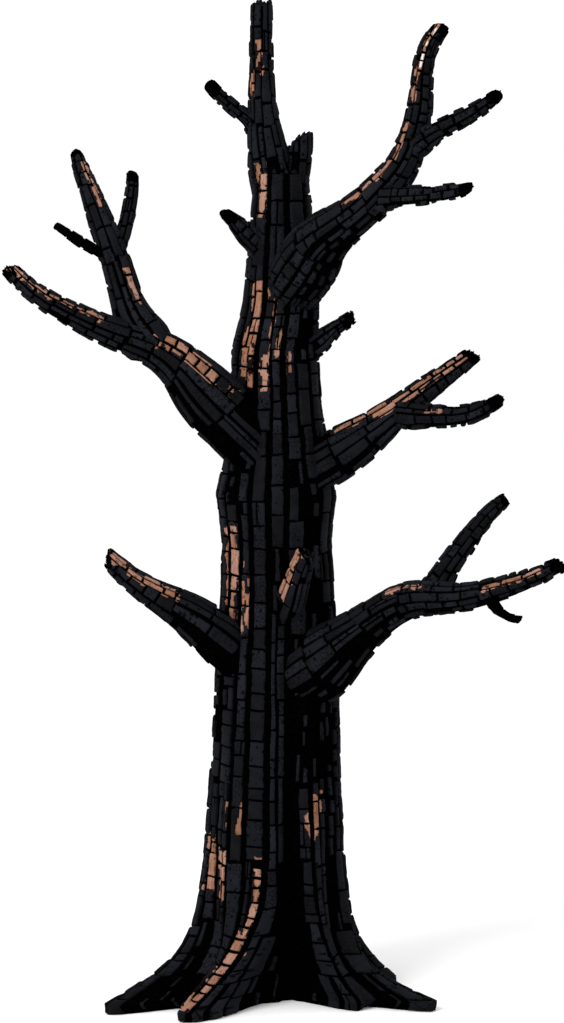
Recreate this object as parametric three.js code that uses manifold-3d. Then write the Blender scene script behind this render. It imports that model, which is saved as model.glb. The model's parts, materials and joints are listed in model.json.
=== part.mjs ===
// A dead broadleaf tree, charred by fire and standing as a bare snag: a fluted trunk with a root flare,
// a snapped leader, and stout boughs and stubs that end in broken tips.
// Millimetres and degrees, +Z up. The origin is the middle of the flat cut at ground level.
// The tree is seen from -Y. A bearing runs anticlockwise from +X as seen from above, so 270 faces the viewer.
import * as THREE from "three";
import { mergeVertices } from "three/addons/utils/BufferGeometryUtils.js";
import Module from "manifold-3d";

// Driving dimensions of the whole tree. The trunk forks into the leader and a snapped stem.
const TREE_HEIGHT = 8000;
const TRUNK_HEIGHT = 6650;
const LEADER_START = 6300;
const LEADER_SLACK = 10;
const JOINT_GAP = 0.4;

// A limb's collar, where it leaves the limb or trunk that carries it: how much it swells all round,
// how much further it sweeps down on its underside, and how many of its radii it reaches outward.
const COLLAR = { swell: 0.28, sweep: 0.45, reach: 1.5 };
const STEEPEST_EXIT = 60;
const BURIED_IN_LIMB = 0.6;

// A limb's surface: ring spacing, path steps for each ring, lumps round it, and the slope of its broken tip.
const RING_SPACING = 170;
const STEPS_PER_RING = 4;
const LUMPS = { two: 0.05, three: 0.035 };
const SNAP_SLOPE = 0.7;

// The trunk's axis and bare radius at a few heights. lean is along X, sway along Y.
const TRUNK_STATIONS = [
  { height: 0, lean: 0, sway: 0, radius: 500 },
  { height: 700, lean: -4, sway: 4, radius: 508 },
  { height: 1400, lean: -6, sway: 12, radius: 528 },
  { height: 2100, lean: -2, sway: 26, radius: 512 },
  { height: 2700, lean: 6, sway: 36, radius: 494 },
  { height: 3200, lean: 10, sway: 40, radius: 462 },
  { height: 3700, lean: 2, sway: 30, radius: 440 },
  { height: 4080, lean: 0, sway: 18, radius: 484 },
  { height: 4400, lean: 2, sway: 6, radius: 420 },
  { height: 4800, lean: -2, sway: -10, radius: 375 },
  { height: 5200, lean: -8, sway: -26, radius: 352 },
  { height: 5650, lean: 38, sway: -20, radius: 306 },
  { height: 6400, lean: 45, sway: 8, radius: 240 },
  { height: TRUNK_HEIGHT, lean: 42, sway: 16, radius: 222 },
];

// Root buttresses. bearing: where the toe points; turn: how much the ridge turns on its way up the trunk.
// reach: how far the toe lies from the axis; shoulder, rise: how far the buttress stands out of the trunk
// and how high it climbs; fall: how fast the toe drops; width: the ridge's angular half width at the ground.
const ROOTS = [
  { bearing: 14, turn: 4, reach: 1000, shoulder: 190, rise: 850, fall: 200, width: 10 },
  { bearing: 58, turn: -4, reach: 1190, shoulder: 220, rise: 1000, fall: 220, width: 10 },
  { bearing: 103, turn: 5, reach: 1100, shoulder: 190, rise: 850, fall: 200, width: 11 },
  { bearing: 150, turn: -3, reach: 1090, shoulder: 210, rise: 950, fall: 210, width: 10 },
  { bearing: 213, turn: -21, reach: 1600, shoulder: 205, rise: 1000, fall: 215, width: 8.5 },
  { bearing: 229, turn: -1, reach: 700, shoulder: 120, rise: 1300, fall: 160, width: 8 },
  { bearing: 240, turn: 21, reach: 1320, shoulder: 230, rise: 1000, fall: 230, width: 11 },
  { bearing: 311, turn: -9, reach: 990, shoulder: 190, rise: 850, fall: 200, width: 9 },
  { bearing: 329, turn: 13, reach: 1460, shoulder: 225, rise: 860, fall: 150, width: 8.5 },
];

// The toes' blunt end and how sharply they fall, the roundness of a ridge, the height over which it turns,
// and how much wider it grows by the height where it has become part of the trunk.
const TOE = { height: 85, sharpness: 1.15 };
const RIDGE_ROUNDNESS = 2.2;
const TURN_HEIGHT = 1000;
const WIDENING = { height: 900, by: 9 };

// Ribs that carry each root's ridge on up the trunk, fading out towards its top.
const RIB = { height: 46, top: 6200, sunk: 0.5 };

// The deep furrow that runs up the front of the trunk between two roots.
const FURROW = { bearing: 284, width: 7.5, depth: 105, fadesFrom: 1200, top: 3500 };

// The main fissures in the burnt bark, one up each valley and one up each ridge: how deep they are, half
// their width, and the largest half angle that they take where the trunk is slim.
const FISSURE = { depth: 22, halfWidth: 30, halfAngle: 3.7 };

// The trunk's mesh: points on each flank between a ridge's fissure and its valley's, as shares of the way,
// and rings in each zone of its height.
const FLANK_SHARES = [0.4, 0.68];
const RING_ZONES = [
  { from: 0, to: 1300, rings: 13, bias: 1.6 },
  { from: 1300, to: 6400, rings: 19, bias: 1 },
  { from: 6400, to: TRUNK_HEIGHT, rings: 4, bias: 0.8 },
];

// Limbs. at: the height on the trunk, or the distance along a parent limb, where the axis starts.
// thick: evenly spaced radii from start to tip. bearing, climb: evenly spaced headings from start to tip.
// collar: how much of the usual collar it has. snap: the bearing and slope of the break at its tip.
// clear: other limbs that it stops clear of.
const LIMBS = [
  { name: "leader", parent: "trunk", at: LEADER_START,
    length: TREE_HEIGHT - LEADER_START + LEADER_SLACK, thick: [200, 172, 122, 98, 92],
    bearing: [180, 175], climb: [77, 81, 89, 91], sides: 14, collar: 0.1, snap: [0, 0] },
  { name: "snapped_fork", parent: "trunk", at: 6200,
    length: 800, thick: [90, 120, 114],
    bearing: [-10, 10], climb: [68, 80, 92], sides: 14, collar: 0, snap: [270, 1.2], clear: ["leader"] },
  { name: "bough_lower_left", parent: "trunk", at: 2420,
    length: 1910, thick: [270, 195, 130, 120, 85],
    bearing: [215, 195, 170], climb: [56, 40, 28, 44], sides: 14, snap: [90, 1.3] },
  { name: "bough_lower_right", parent: "trunk", at: 2400,
    length: 3000, thick: [230, 182, 158, 110, 65],
    bearing: [305, 345, 320, 340], climb: [38, 36, 36, 4, 18, 30], sides: 14 },
  { name: "bough_lower_right_fork", parent: "bough_lower_right", at: 1690,
    length: 1110, thick: [100, 96, 90, 74, 55],
    bearing: [10, 30, 50], climb: [56, 48, 24], sides: 10, collar: 0.35 },
  { name: "bough_lower_right_twig", parent: "bough_lower_right", at: 2300,
    length: 430, thick: [55, 40, 35],
    bearing: [300, 320], climb: [-60, -24, 4], sides: 8, collar: 0.35 },
  { name: "stub_front", parent: "trunk", at: 2880,
    length: 1080, thick: [130, 124, 112, 92],
    bearing: [282, 290, 300], climb: [36, 50, 58], sides: 12, collar: 0.4 },
  { name: "bough_middle_left", parent: "trunk", at: 4180,
    length: 2890, thick: [290, 185, 155, 115, 70],
    bearing: [230, 190, 185, 180], climb: [60, 45, 44, 19, 28, 48], sides: 16 },
  { name: "bough_middle_left_riser", parent: "bough_middle_left", at: 1450,
    length: 1970, thick: [145, 138, 126, 95, 55],
    bearing: [165, 140, 125, 105], climb: [44, 68, 54, 36], sides: 12 },
  { name: "bough_middle_left_fork", parent: "bough_middle_left_riser", at: 920,
    length: 740, thick: [70, 66, 54],
    bearing: [60, 60, 80], climb: [44, 66, 80], sides: 10, collar: 0.35 },
  { name: "bough_middle_left_twig", parent: "bough_middle_left_riser", at: 870,
    length: 570, thick: [50, 50, 35],
    bearing: [200, 190], climb: [24, 36], sides: 8, collar: 0.35 },
  { name: "bough_middle_right", parent: "trunk", at: 3910,
    length: 2130, thick: [250, 155, 110, 105, 70],
    bearing: [330, 350, 370], climb: [60, 32, 36, 36], sides: 14 },
  { name: "bough_middle_right_fork", parent: "bough_middle_right", at: 1320,
    length: 1070, thick: [105, 100, 96, 82, 60],
    bearing: [330, 315, 330], climb: [-4, 4, 32], sides: 10, collar: 0.35 },
  { name: "stub_right", parent: "trunk", at: 5000,
    length: 850, thick: [80, 65, 65],
    bearing: [335, 350], climb: [44, 32], sides: 10 },
  { name: "stub_left", parent: "trunk", at: 5840,
    length: 740, thick: [125, 70, 45],
    bearing: [215, 200], climb: [52, 36], sides: 10 },
  { name: "bough_upper_right", parent: "trunk", at: 5540,
    length: 2930, thick: [215, 195, 160, 105, 70],
    bearing: [307, 307, 344, 400, 370], climb: [56, 47, 28, 44, 70, 86, 50], sides: 14, collar: 0.6 },
  { name: "bough_upper_right_outer", parent: "bough_upper_right", at: 1860,
    length: 900, thick: [90, 88, 84, 72, 55],
    bearing: [345, 335, 345], climb: [40, 24, 40], sides: 10, collar: 0.35 },
  { name: "bough_upper_right_level", parent: "bough_upper_right", at: 1410,
    length: 1020, thick: [90, 86, 80, 68, 52],
    bearing: [300, 320, 335], climb: [4, 4, 12], sides: 10, collar: 0.35 },
  { name: "leader_branch", parent: "leader", at: 570,
    length: 710, thick: [85, 65, 58],
    bearing: [170, 195], climb: [62, 38, 46], sides: 10, collar: 0.5 },
  { name: "bough_back_low", parent: "trunk", at: 2550,
    length: 1750, thick: [150, 60],
    bearing: [95, 85, 95], climb: [36, 30, 42], sides: 12 },
  { name: "bough_back_low_fork", parent: "bough_back_low", at: 1120,
    length: 620, thick: [75, 40],
    bearing: [70, 80], climb: [12, 34], sides: 8 },
  { name: "bough_back", parent: "trunk", at: 4300,
    length: 2050, thick: [165, 50],
    bearing: [85, 90, 85], climb: [48, 40, 54], sides: 12 },
  { name: "bough_back_fork", parent: "bough_back", at: 1250,
    length: 820, thick: [80, 45],
    bearing: [105, 95], climb: [14, 36], sides: 10 },
  { name: "stub_back", parent: "trunk", at: 5650,
    length: 720, thick: [75, 45],
    bearing: [80, 90], climb: [42, 52], sides: 10 },
];

const wasm = await Module();
wasm.setup();

const charredWood = { color: 0x1a1b1f, roughness: 0.8, metalness: 0 };

/** An evenly spaced list of values read at t, from 0 to 1, with eased steps between them. */
function eased(values, t) {
  const last = values.length - 1;
  if (last === 0) return values[0];
  const x = THREE.MathUtils.clamp(t, 0, 1) * last;
  const i = Math.min(Math.floor(x), last - 1);
  return THREE.MathUtils.lerp(values[i], values[i + 1], THREE.MathUtils.smoothstep(x - i, 0, 1));
}

/** An evenly spaced list of values read at t, from 0 to 1, with straight steps between them. */
function evenly(values, t) {
  const x = THREE.MathUtils.clamp(t, 0, 1) * (values.length - 1);
  const i = Math.min(Math.floor(x), values.length - 2);
  return THREE.MathUtils.lerp(values[i], values[i + 1], x - i);
}

/** The trunk's axis point and bare radius at a height, between its stations. */
function trunkAt(height) {
  const upper = Math.max(1, TRUNK_STATIONS.findIndex((s) => s.height >= height));
  const a = TRUNK_STATIONS[upper - 1];
  const b = TRUNK_STATIONS[upper];
  const t = THREE.MathUtils.smoothstep(height, a.height, b.height);
  const straight = (height - a.height) / (b.height - a.height);
  return {
    axis: new THREE.Vector3(
      THREE.MathUtils.lerp(a.lean, b.lean, t),
      THREE.MathUtils.lerp(a.sway, b.sway, t),
      height,
    ),
    radius: THREE.MathUtils.lerp(a.radius, b.radius, straight),
  };
}

/** The smallest angle from one bearing to another, in degrees, signed. */
function turnBetween(from, to) {
  return ((to - from + 540) % 360) - 180;
}

/** The bearing of a root's ridge at a height: it turns as it climbs. */
function ridgeBearing(root, height) {
  return root.bearing + root.turn * THREE.MathUtils.smoothstep(height, 0, TURN_HEIGHT);
}

/** How far a root stands out of the bare column at a height: a broad buttress and a quickly falling toe. */
function rootFlare(root, height) {
  const toe = root.reach - TRUNK_STATIONS[0].radius - root.shoulder;
  const drop = Math.max(0, height - TOE.height) / root.fall;
  const climb = height / root.rise;
  return root.shoulder * Math.exp(-climb * climb) + toe * Math.exp(-Math.pow(drop, TOE.sharpness));
}

/** The trunk's radius towards a bearing at a height: the bare column, its roots and ribs, and the furrow. */
function trunkRadius(bearing, height) {
  const column = trunkAt(height).radius;
  const widening = Math.min(1, height / WIDENING.height) * WIDENING.by;
  const rib = RIB.height * (column / TRUNK_STATIONS[0].radius) * Math.max(0, 1 - height / RIB.top);
  let radius = column - rib * RIB.sunk;
  for (const root of ROOTS) {
    const across = Math.abs(turnBetween(bearing, ridgeBearing(root, height))) / (root.width + widening);
    radius += (rootFlare(root, height) + rib) * Math.exp(-Math.pow(across, RIDGE_ROUNDNESS));
  }
  const furrowFade = 1 - THREE.MathUtils.smoothstep(height, FURROW.fadesFrom, FURROW.top);
  const acrossFurrow = turnBetween(bearing, FURROW.bearing) / FURROW.width;
  return radius - FURROW.depth * furrowFade * Math.exp(-acrossFurrow * acrossFurrow);
}

/** A main fissure's two lips and its floor, or one lip and the floor, as bearings and depths of cut. */
function fissure(bearing, height, lips) {
  const widest = THREE.MathUtils.degToRad(FISSURE.halfAngle);
  const half = THREE.MathUtils.radToDeg(Math.min(widest, FISSURE.halfWidth / trunkRadius(bearing, height)));
  const floor = { bearing, cut: FISSURE.depth };
  const beside = lips.map((side) => ({ bearing: bearing + side * half, cut: 0 }));
  return [...beside, floor].sort((a, b) => a.bearing - b.bearing);
}

/** Points of a ring of the trunk's mesh, from valley to valley over each root, with the main fissures. */
function trunkRing(height) {
  const ridges = ROOTS.map((root) => ridgeBearing(root, height));
  return ridges.flatMap((ridge, i) => {
    const left = turnBetween(ridges[(i + ridges.length - 1) % ridges.length], ridge) / 2;
    const right = turnBetween(ridge, ridges[(i + 1) % ridges.length]) / 2;
    return [
      ...fissure(ridge - left, height, [1]),
      ...FLANK_SHARES.map((share) => ({ bearing: ridge - left * share, cut: 0 })).reverse(),
      ...fissure(ridge, height, [-1, 1]),
      ...FLANK_SHARES.map((share) => ({ bearing: ridge + right * share, cut: 0 })),
      fissure(ridge + right, height, [-1])[0],
    ];
  });
}

/** Heights of the trunk's rings, closer together in the root flare and at the fork. */
function trunkHeights() {
  const zones = RING_ZONES.flatMap((zone) =>
    Array.from(
      { length: zone.rings },
      (_, k) => zone.from + (zone.to - zone.from) * Math.pow(k / zone.rings, zone.bias),
    ),
  );
  return [...zones, TRUNK_HEIGHT];
}

/** Joins rings of points, all with the same count, into one closed body with a fan over each end. */
function skinRings(rings) {
  const count = rings[0].length;
  const middle = (ring) =>
    ring.reduce((sum, p) => sum.add(p), new THREE.Vector3()).divideScalar(count);
  const points = [...rings.flat(), middle(rings[0]), middle(rings[rings.length - 1])];
  const index = [];
  const startCap = points.length - 2;
  const endCap = points.length - 1;
  const lastRing = (rings.length - 1) * count;
  for (let k = 0; k < count; k++) {
    const next = (k + 1) % count;
    for (let r = 0; r < rings.length - 1; r++) {
      const low = r * count;
      const high = low + count;
      index.push(low + k, low + next, high + next, low + k, high + next, high + k);
    }
    index.push(startCap, next, k, endCap, lastRing + k, lastRing + next);
  }
  return new THREE.BufferGeometry().setFromPoints(points).setIndex(index);
}

/** The trunk's closed surface, grown outward by a clearance. */
function trunkGeometry(clearance = 0) {
  const rings = trunkHeights().map((height) => {
    const { axis } = trunkAt(height);
    return trunkRing(height).map(({ bearing, cut }) => {
      const angle = THREE.MathUtils.degToRad(bearing);
      const radius = trunkRadius(bearing, height) - cut + clearance;
      return new THREE.Vector3(Math.cos(angle), Math.sin(angle), 0).multiplyScalar(radius).add(axis);
    });
  });
  return skinRings(rings);
}

/** A point of a limb's path at a distance from its start. */
function pathPoint(path, distance) {
  const step = path.length / (path.points.length - 1);
  const x = THREE.MathUtils.clamp(distance / step, 0, path.points.length - 1.001);
  const i = Math.floor(x);
  return path.points[i].clone().lerp(path.points[i + 1], x - i);
}

/** The axis of a limb: it sets off from its parent's axis and follows its headings. */
function limbPath(limb, paths) {
  const start =
    limb.parent === "trunk" ? trunkAt(limb.at).axis : pathPoint(paths.get(limb.parent), limb.at);
  const steps = Math.ceil(limb.length / RING_SPACING) * STEPS_PER_RING;
  const points = [start];
  const directions = [];
  for (let k = 0; k < steps; k++) {
    const t = (k + 0.5) / steps;
    const bearing = THREE.MathUtils.degToRad(eased(limb.bearing, t));
    const climb = THREE.MathUtils.degToRad(eased(limb.climb, t));
    const flat = Math.cos(climb);
    const direction = new THREE.Vector3(flat * Math.cos(bearing), flat * Math.sin(bearing), Math.sin(climb));
    directions.push(direction);
    points.push(points[k].clone().addScaledVector(direction, limb.length / steps));
  }
  return { points, directions, length: limb.length };
}

/** How deep a limb's start lies inside its parent, so that the collar sits at the parent's surface. */
function buriedLength(limb) {
  const climb = THREE.MathUtils.degToRad(Math.min(STEEPEST_EXIT, limb.climb[0]));
  if (limb.parent === "trunk") return trunkAt(limb.at).radius / Math.cos(climb);
  return LIMBS.find((other) => other.name === limb.parent).thick[0] * BURIED_IN_LIMB;
}

/** The closed surface of a limb along its path, grown outward by a clearance. */
function limbGeometry(limb, order, path, clearance = 0) {
  const steps = path.directions.length;
  const buried = buriedLength(limb);
  const [snapBearing, snapAmount] = limb.snap ?? [90 * order, SNAP_SLOPE];
  const up = new THREE.Vector3(0, 0, 1);
  const along = path.directions[0].clone();
  const side = new THREE.Vector3().crossVectors(up, along).normalize();
  const rings = [];
  for (let k = 0; k <= steps; k += STEPS_PER_RING) {
    const direction = path.directions[Math.min(k, steps - 1)];
    side.applyQuaternion(new THREE.Quaternion().setFromUnitVectors(along, direction));
    along.copy(direction);
    const above = new THREE.Vector3().crossVectors(along, side).normalize();
    const t = k / steps;
    const distance = t * limb.length;
    const beyond = Math.max(0, distance - buried) / (COLLAR.reach * limb.thick[0]);
    const emerging = (limb.collar ?? 1) * THREE.MathUtils.smoothstep(distance, 0, buried);
    const collar = emerging * Math.exp(-beyond * beyond);
    const radius = evenly(limb.thick, t) * (1 + COLLAR.swell * collar);
    const atTip = k === steps ? 1 : 0;
    rings.push(
      Array.from({ length: limb.sides }, (_, n) => {
        const round = (2 * Math.PI * n) / limb.sides;
        const lumps = LUMPS.two * Math.sin(2 * round + order) + LUMPS.three * Math.sin(3 * round - order);
        const sweep = Math.sin(round) < 0 ? 1 + COLLAR.sweep * collar : 1;
        const reach = radius * (1 + lumps) + clearance;
        const snap = Math.cos(round - THREE.MathUtils.degToRad(snapBearing)) * snapAmount * radius;
        return path.points[k]
          .clone()
          .addScaledVector(side, Math.cos(round) * reach)
          .addScaledVector(above, Math.sin(round) * reach * sweep)
          .addScaledVector(along, (atTip * (snap - radius * snapAmount)) / 2 + atTip * clearance);
      }),
    );
  }
  return skinRings(rings);
}

/** A geometry as a solid, ready to be cut. */
function toSolid(geometry) {
  const merged = mergeVertices(geometry, 1e-3);
  const mesh = new wasm.Mesh({
    numProp: 3,
    vertProperties: merged.getAttribute("position").array,
    triVerts: new Uint32Array(merged.index.array),
  });
  return new wasm.Manifold(mesh);
}

/** A solid as a geometry with flat faces. */
function toGeometry(solid) {
  const { vertProperties, triVerts } = solid.getMesh();
  const geometry = new THREE.BufferGeometry();
  geometry.setAttribute("position", new THREE.BufferAttribute(vertProperties, 3));
  geometry.setIndex(new THREE.BufferAttribute(triVerts, 1));
  const flat = geometry.toNonIndexed();
  flat.computeVertexNormals();
  return flat;
}

/** The largest piece of a solid, so that a cut leaves no crumbs. */
function largestPiece(solid) {
  return solid.decompose().reduce((most, piece) => (piece.volume() > most.volume() ? piece : most));
}

/** A named mesh in charred wood. */
function woodMesh(name, geometry) {
  const mesh = new THREE.Mesh(geometry, new THREE.MeshStandardMaterial(charredWood));
  mesh.name = name;
  return mesh;
}

/** The whole tree: the trunk, and each limb cut clear of the limb or trunk that carries it. */
function buildTree() {
  const tree = new THREE.Group();
  tree.add(woodMesh("trunk", toGeometry(toSolid(trunkGeometry()))));
  const grown = new Map([["trunk", toSolid(trunkGeometry(JOINT_GAP))]]);
  const paths = new Map();
  LIMBS.forEach((limb, order) => {
    const path = limbPath(limb, paths);
    paths.set(limb.name, path);
    const carriers = new Set(["trunk", limb.parent, ...(limb.clear ?? [])]);
    let solid = toSolid(limbGeometry(limb, order, path));
    for (const carrier of carriers) solid = solid.subtract(grown.get(carrier));
    tree.add(woodMesh(limb.name, toGeometry(largestPiece(solid))));
    grown.set(limb.name, toSolid(limbGeometry(limb, order, path, JOINT_GAP)));
  });
  return tree;
}

export default buildTree();
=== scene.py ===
"""A charred dead tree: blocks of burnt bark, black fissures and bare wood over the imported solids."""
import json
import logging
import math
from dataclasses import dataclass, field, replace
from enum import Enum
from itertools import product
from typing import ClassVar

import bpy
import numpy as np
from bpy.types import ID, Material, Node, NodeSocket, NodeTree, Object
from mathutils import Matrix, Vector

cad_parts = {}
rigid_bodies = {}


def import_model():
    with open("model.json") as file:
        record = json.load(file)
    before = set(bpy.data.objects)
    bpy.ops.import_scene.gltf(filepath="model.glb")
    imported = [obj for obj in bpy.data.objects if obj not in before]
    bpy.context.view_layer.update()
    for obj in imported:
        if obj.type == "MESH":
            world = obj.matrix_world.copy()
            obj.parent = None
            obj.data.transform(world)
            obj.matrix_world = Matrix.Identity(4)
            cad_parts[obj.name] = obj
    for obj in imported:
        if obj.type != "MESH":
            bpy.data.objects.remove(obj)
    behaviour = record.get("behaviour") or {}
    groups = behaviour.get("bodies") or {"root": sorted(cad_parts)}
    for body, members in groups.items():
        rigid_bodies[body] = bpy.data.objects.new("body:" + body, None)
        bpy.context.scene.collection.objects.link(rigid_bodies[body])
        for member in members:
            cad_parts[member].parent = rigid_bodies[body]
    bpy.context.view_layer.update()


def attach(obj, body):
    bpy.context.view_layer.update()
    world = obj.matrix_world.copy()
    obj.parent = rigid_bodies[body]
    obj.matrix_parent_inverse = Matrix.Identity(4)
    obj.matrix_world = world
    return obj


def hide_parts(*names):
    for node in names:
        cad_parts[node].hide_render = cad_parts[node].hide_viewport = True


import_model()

Array = np.ndarray
Chance = np.random.Generator
Pair = tuple[float, float]
Triple = tuple[float, float, float]
log = logging.getLogger("burnt_tree")
BODY = "root"
UP = np.array([0.0, 0.0, 1.0])
FULL_TURN = 2.0 * math.pi
GOLDEN_TURN = 0.381966
GOLDEN_ANGLE = 2.399963
HIDDEN_SEED = 7
# Large odd numbers that stir a cell's place into a value with no pattern.
NOISE_STEPS = np.array([73856093, 19349663, 83492791])
NOISE_SEED_STEP = 40503
NOISE_STIR = 1274126177
NOISE_MASK = 0x7FFFFFFF
NOISE_LEVELS = 0xFFFF
NoiseLayers = tuple[tuple[float, float, int], ...]


class Slot(Enum):
    """The record's material slots."""

    CHAR = "charred_bark"
    BARE = "bare_wood"


class Layer(Enum):
    """What a stretch of the tree's surface is made of."""

    CHAR = "char"
    BARE = "bare"
    BLEACHED = "bleached"
    # Blocks burnt down to slivers over the black core, and soot at thin tips; under the boughs and on the
    # trunk's right side the slivers are painted shade.
    BURNT_OUT = "burnt_out"


# Numbers along a curve


def mixed(start: Array, end: Array, share: Array) -> Array:
    """Values between two others: the first at share 0 and the second at share 1."""
    return start * (1.0 - share) + end * share


def unit(vectors: Array) -> Array:
    """Vectors brought to length 1, with x, y and z last."""
    return vectors / np.maximum(np.linalg.norm(vectors, axis=-1, keepdims=True), 1e-12)


def phase(weights: Pair, first: float, second: float) -> float:
    """An angle that differs from place to place, from two numbers of the place."""
    return weights[0] * first + weights[1] * second


def stepped(places: tuple[float, ...], counts: tuple[int, ...]) -> Array:
    """Even steps from place to place, with the number of points in each stretch, both its ends counted."""
    runs = [np.linspace(low, high, count) for low, high, count in zip(places[:-1], places[1:], counts)]
    return np.concatenate([runs[0]] + [run[1:] for run in runs[1:]])


def smooth(x: Array, low: float, high: float) -> Array:
    """An eased step.

    Args:
        x: Where to read it.
        low: Where it leaves 0.
        high: Where it reaches 1.

    Returns:
        Values from 0 to 1.
    """
    t = np.clip((np.asarray(x, float) - low) / (high - low), 0.0, 1.0)
    return t * t * (3.0 - 2.0 * t)


def spaced(values: tuple[float, ...], t: Array, ease: bool) -> Array:
    """Reads an evenly spaced list of values.

    Args:
        values: The list, first at t = 0 and last at t = 1.
        t: Where to read it.
        ease: Whether the steps between values are eased or straight.

    Returns:
        The values at t.
    """
    listed = np.asarray(values, float)
    x = np.clip(np.asarray(t, float), 0.0, 1.0) * (len(listed) - 1)
    low = np.minimum(x.astype(int), len(listed) - 2)
    part = x - low
    if ease:
        part = smooth(part, 0.0, 1.0)
    return mixed(listed[low], listed[low + 1], part)


def noise(points: Array, size: float, seed: int = 0) -> Array:
    """Smooth seeded noise in space.

    Args:
        points: Positions, with x, y and z last.
        size: The width of one lump, in the unit of the positions.
        seed: Which noise.

    Returns:
        Values from -1 to 1, one for each position.
    """
    scaled = points / size
    cell = np.floor(scaled).astype(np.int64)
    part = scaled - cell
    part = part * part * (3.0 - 2.0 * part)
    total = np.zeros(points.shape[:-1])
    for corner in product((0, 1), repeat=3):
        at = cell + np.array(corner)
        stirred = np.bitwise_xor.reduce(at * NOISE_STEPS, axis=-1) ^ (seed + 1) * NOISE_SEED_STEP
        stirred = ((stirred ^ (stirred >> 13)) * NOISE_STIR) & NOISE_MASK
        value = 2.0 * ((stirred >> 7) & NOISE_LEVELS) / NOISE_LEVELS - 1.0
        weight = np.prod(np.where(np.array(corner) == 1, part, 1.0 - part), axis=-1)
        total += value * weight
    return total


def layered(points: Array, layers: NoiseLayers) -> Array:
    """Noises added up, each given by its height, the width of its lumps and its seed."""
    return sum(height * noise(points, size, seed) for height, size, seed in layers)


def turned(vector: Array, start: Array, end: Array) -> Array:
    """A vector turned by the smallest turn that takes one direction to another.

    Args:
        vector: The vector to turn.
        start: The first direction.
        end: The second direction.

    Returns:
        The turned vector.
    """
    axis = np.cross(start, end)
    cosine = float(np.dot(start, end))
    return vector * cosine + np.cross(axis, vector) + axis * np.dot(axis, vector) / (1.0 + cosine)


# The tree's surfaces, in the same sizes as its solids


@dataclass
class Spots:
    """Places on a surface: how far along it they are, their positions, and the directions square on it."""

    along: Array
    points: Array
    normals: Array


class Surface:
    """A surface that carries bark, read at places along it and around it."""

    nudge: ClassVar[float]
    nudge_round: ClassVar[float] = 0.004

    @property
    def end(self) -> float:
        """Where the surface ends, along it."""
        raise NotImplementedError

    def column(self, along: Array) -> Array:
        """The bare radius at places along the surface."""
        raise NotImplementedError

    def across_grain(self, along: Array, around: Array) -> Array:
        """Metres across the grain, for points of the surface."""
        raise NotImplementedError

    def point(self, along: Array, around: Array) -> Array:
        """Points of the surface."""
        raise NotImplementedError

    def holds(self, points: Array, margin: float) -> Array:
        """Whether points lie inside the surface, deeper than a margin."""
        raise NotImplementedError

    def within(self, patch: "Patch", spots: Spots) -> Array:
        """Metres inside the two sides of a patch for spots on the surface, negative outside."""
        raise NotImplementedError

    def place(self, along: Array, around: Array) -> Spots:
        """Spots on the surface.

        Args:
            along: Where they are along it.
            around: Where they are around it.

        Returns:
            The spots.
        """
        low = np.clip(along, 0.0, self.end - self.nudge)
        here = self.point(low, around)
        onward = self.point(low + self.nudge, around) - here
        round_ = self.point(low, around + self.nudge_round) - here
        return Spots(along, self.point(along, around), unit(np.cross(round_, onward)))


@dataclass(frozen=True)
class Station:
    """The trunk's axis and bare radius at a height."""

    height: float
    lean: float
    sway: float
    radius: float


@dataclass(frozen=True)
class Root:
    """A buttress root: where its toe points, how it turns, and how it stands out and falls."""

    bearing: float
    turn: float
    reach: float
    shoulder: float
    rise: float
    fall: float
    width: float


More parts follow.
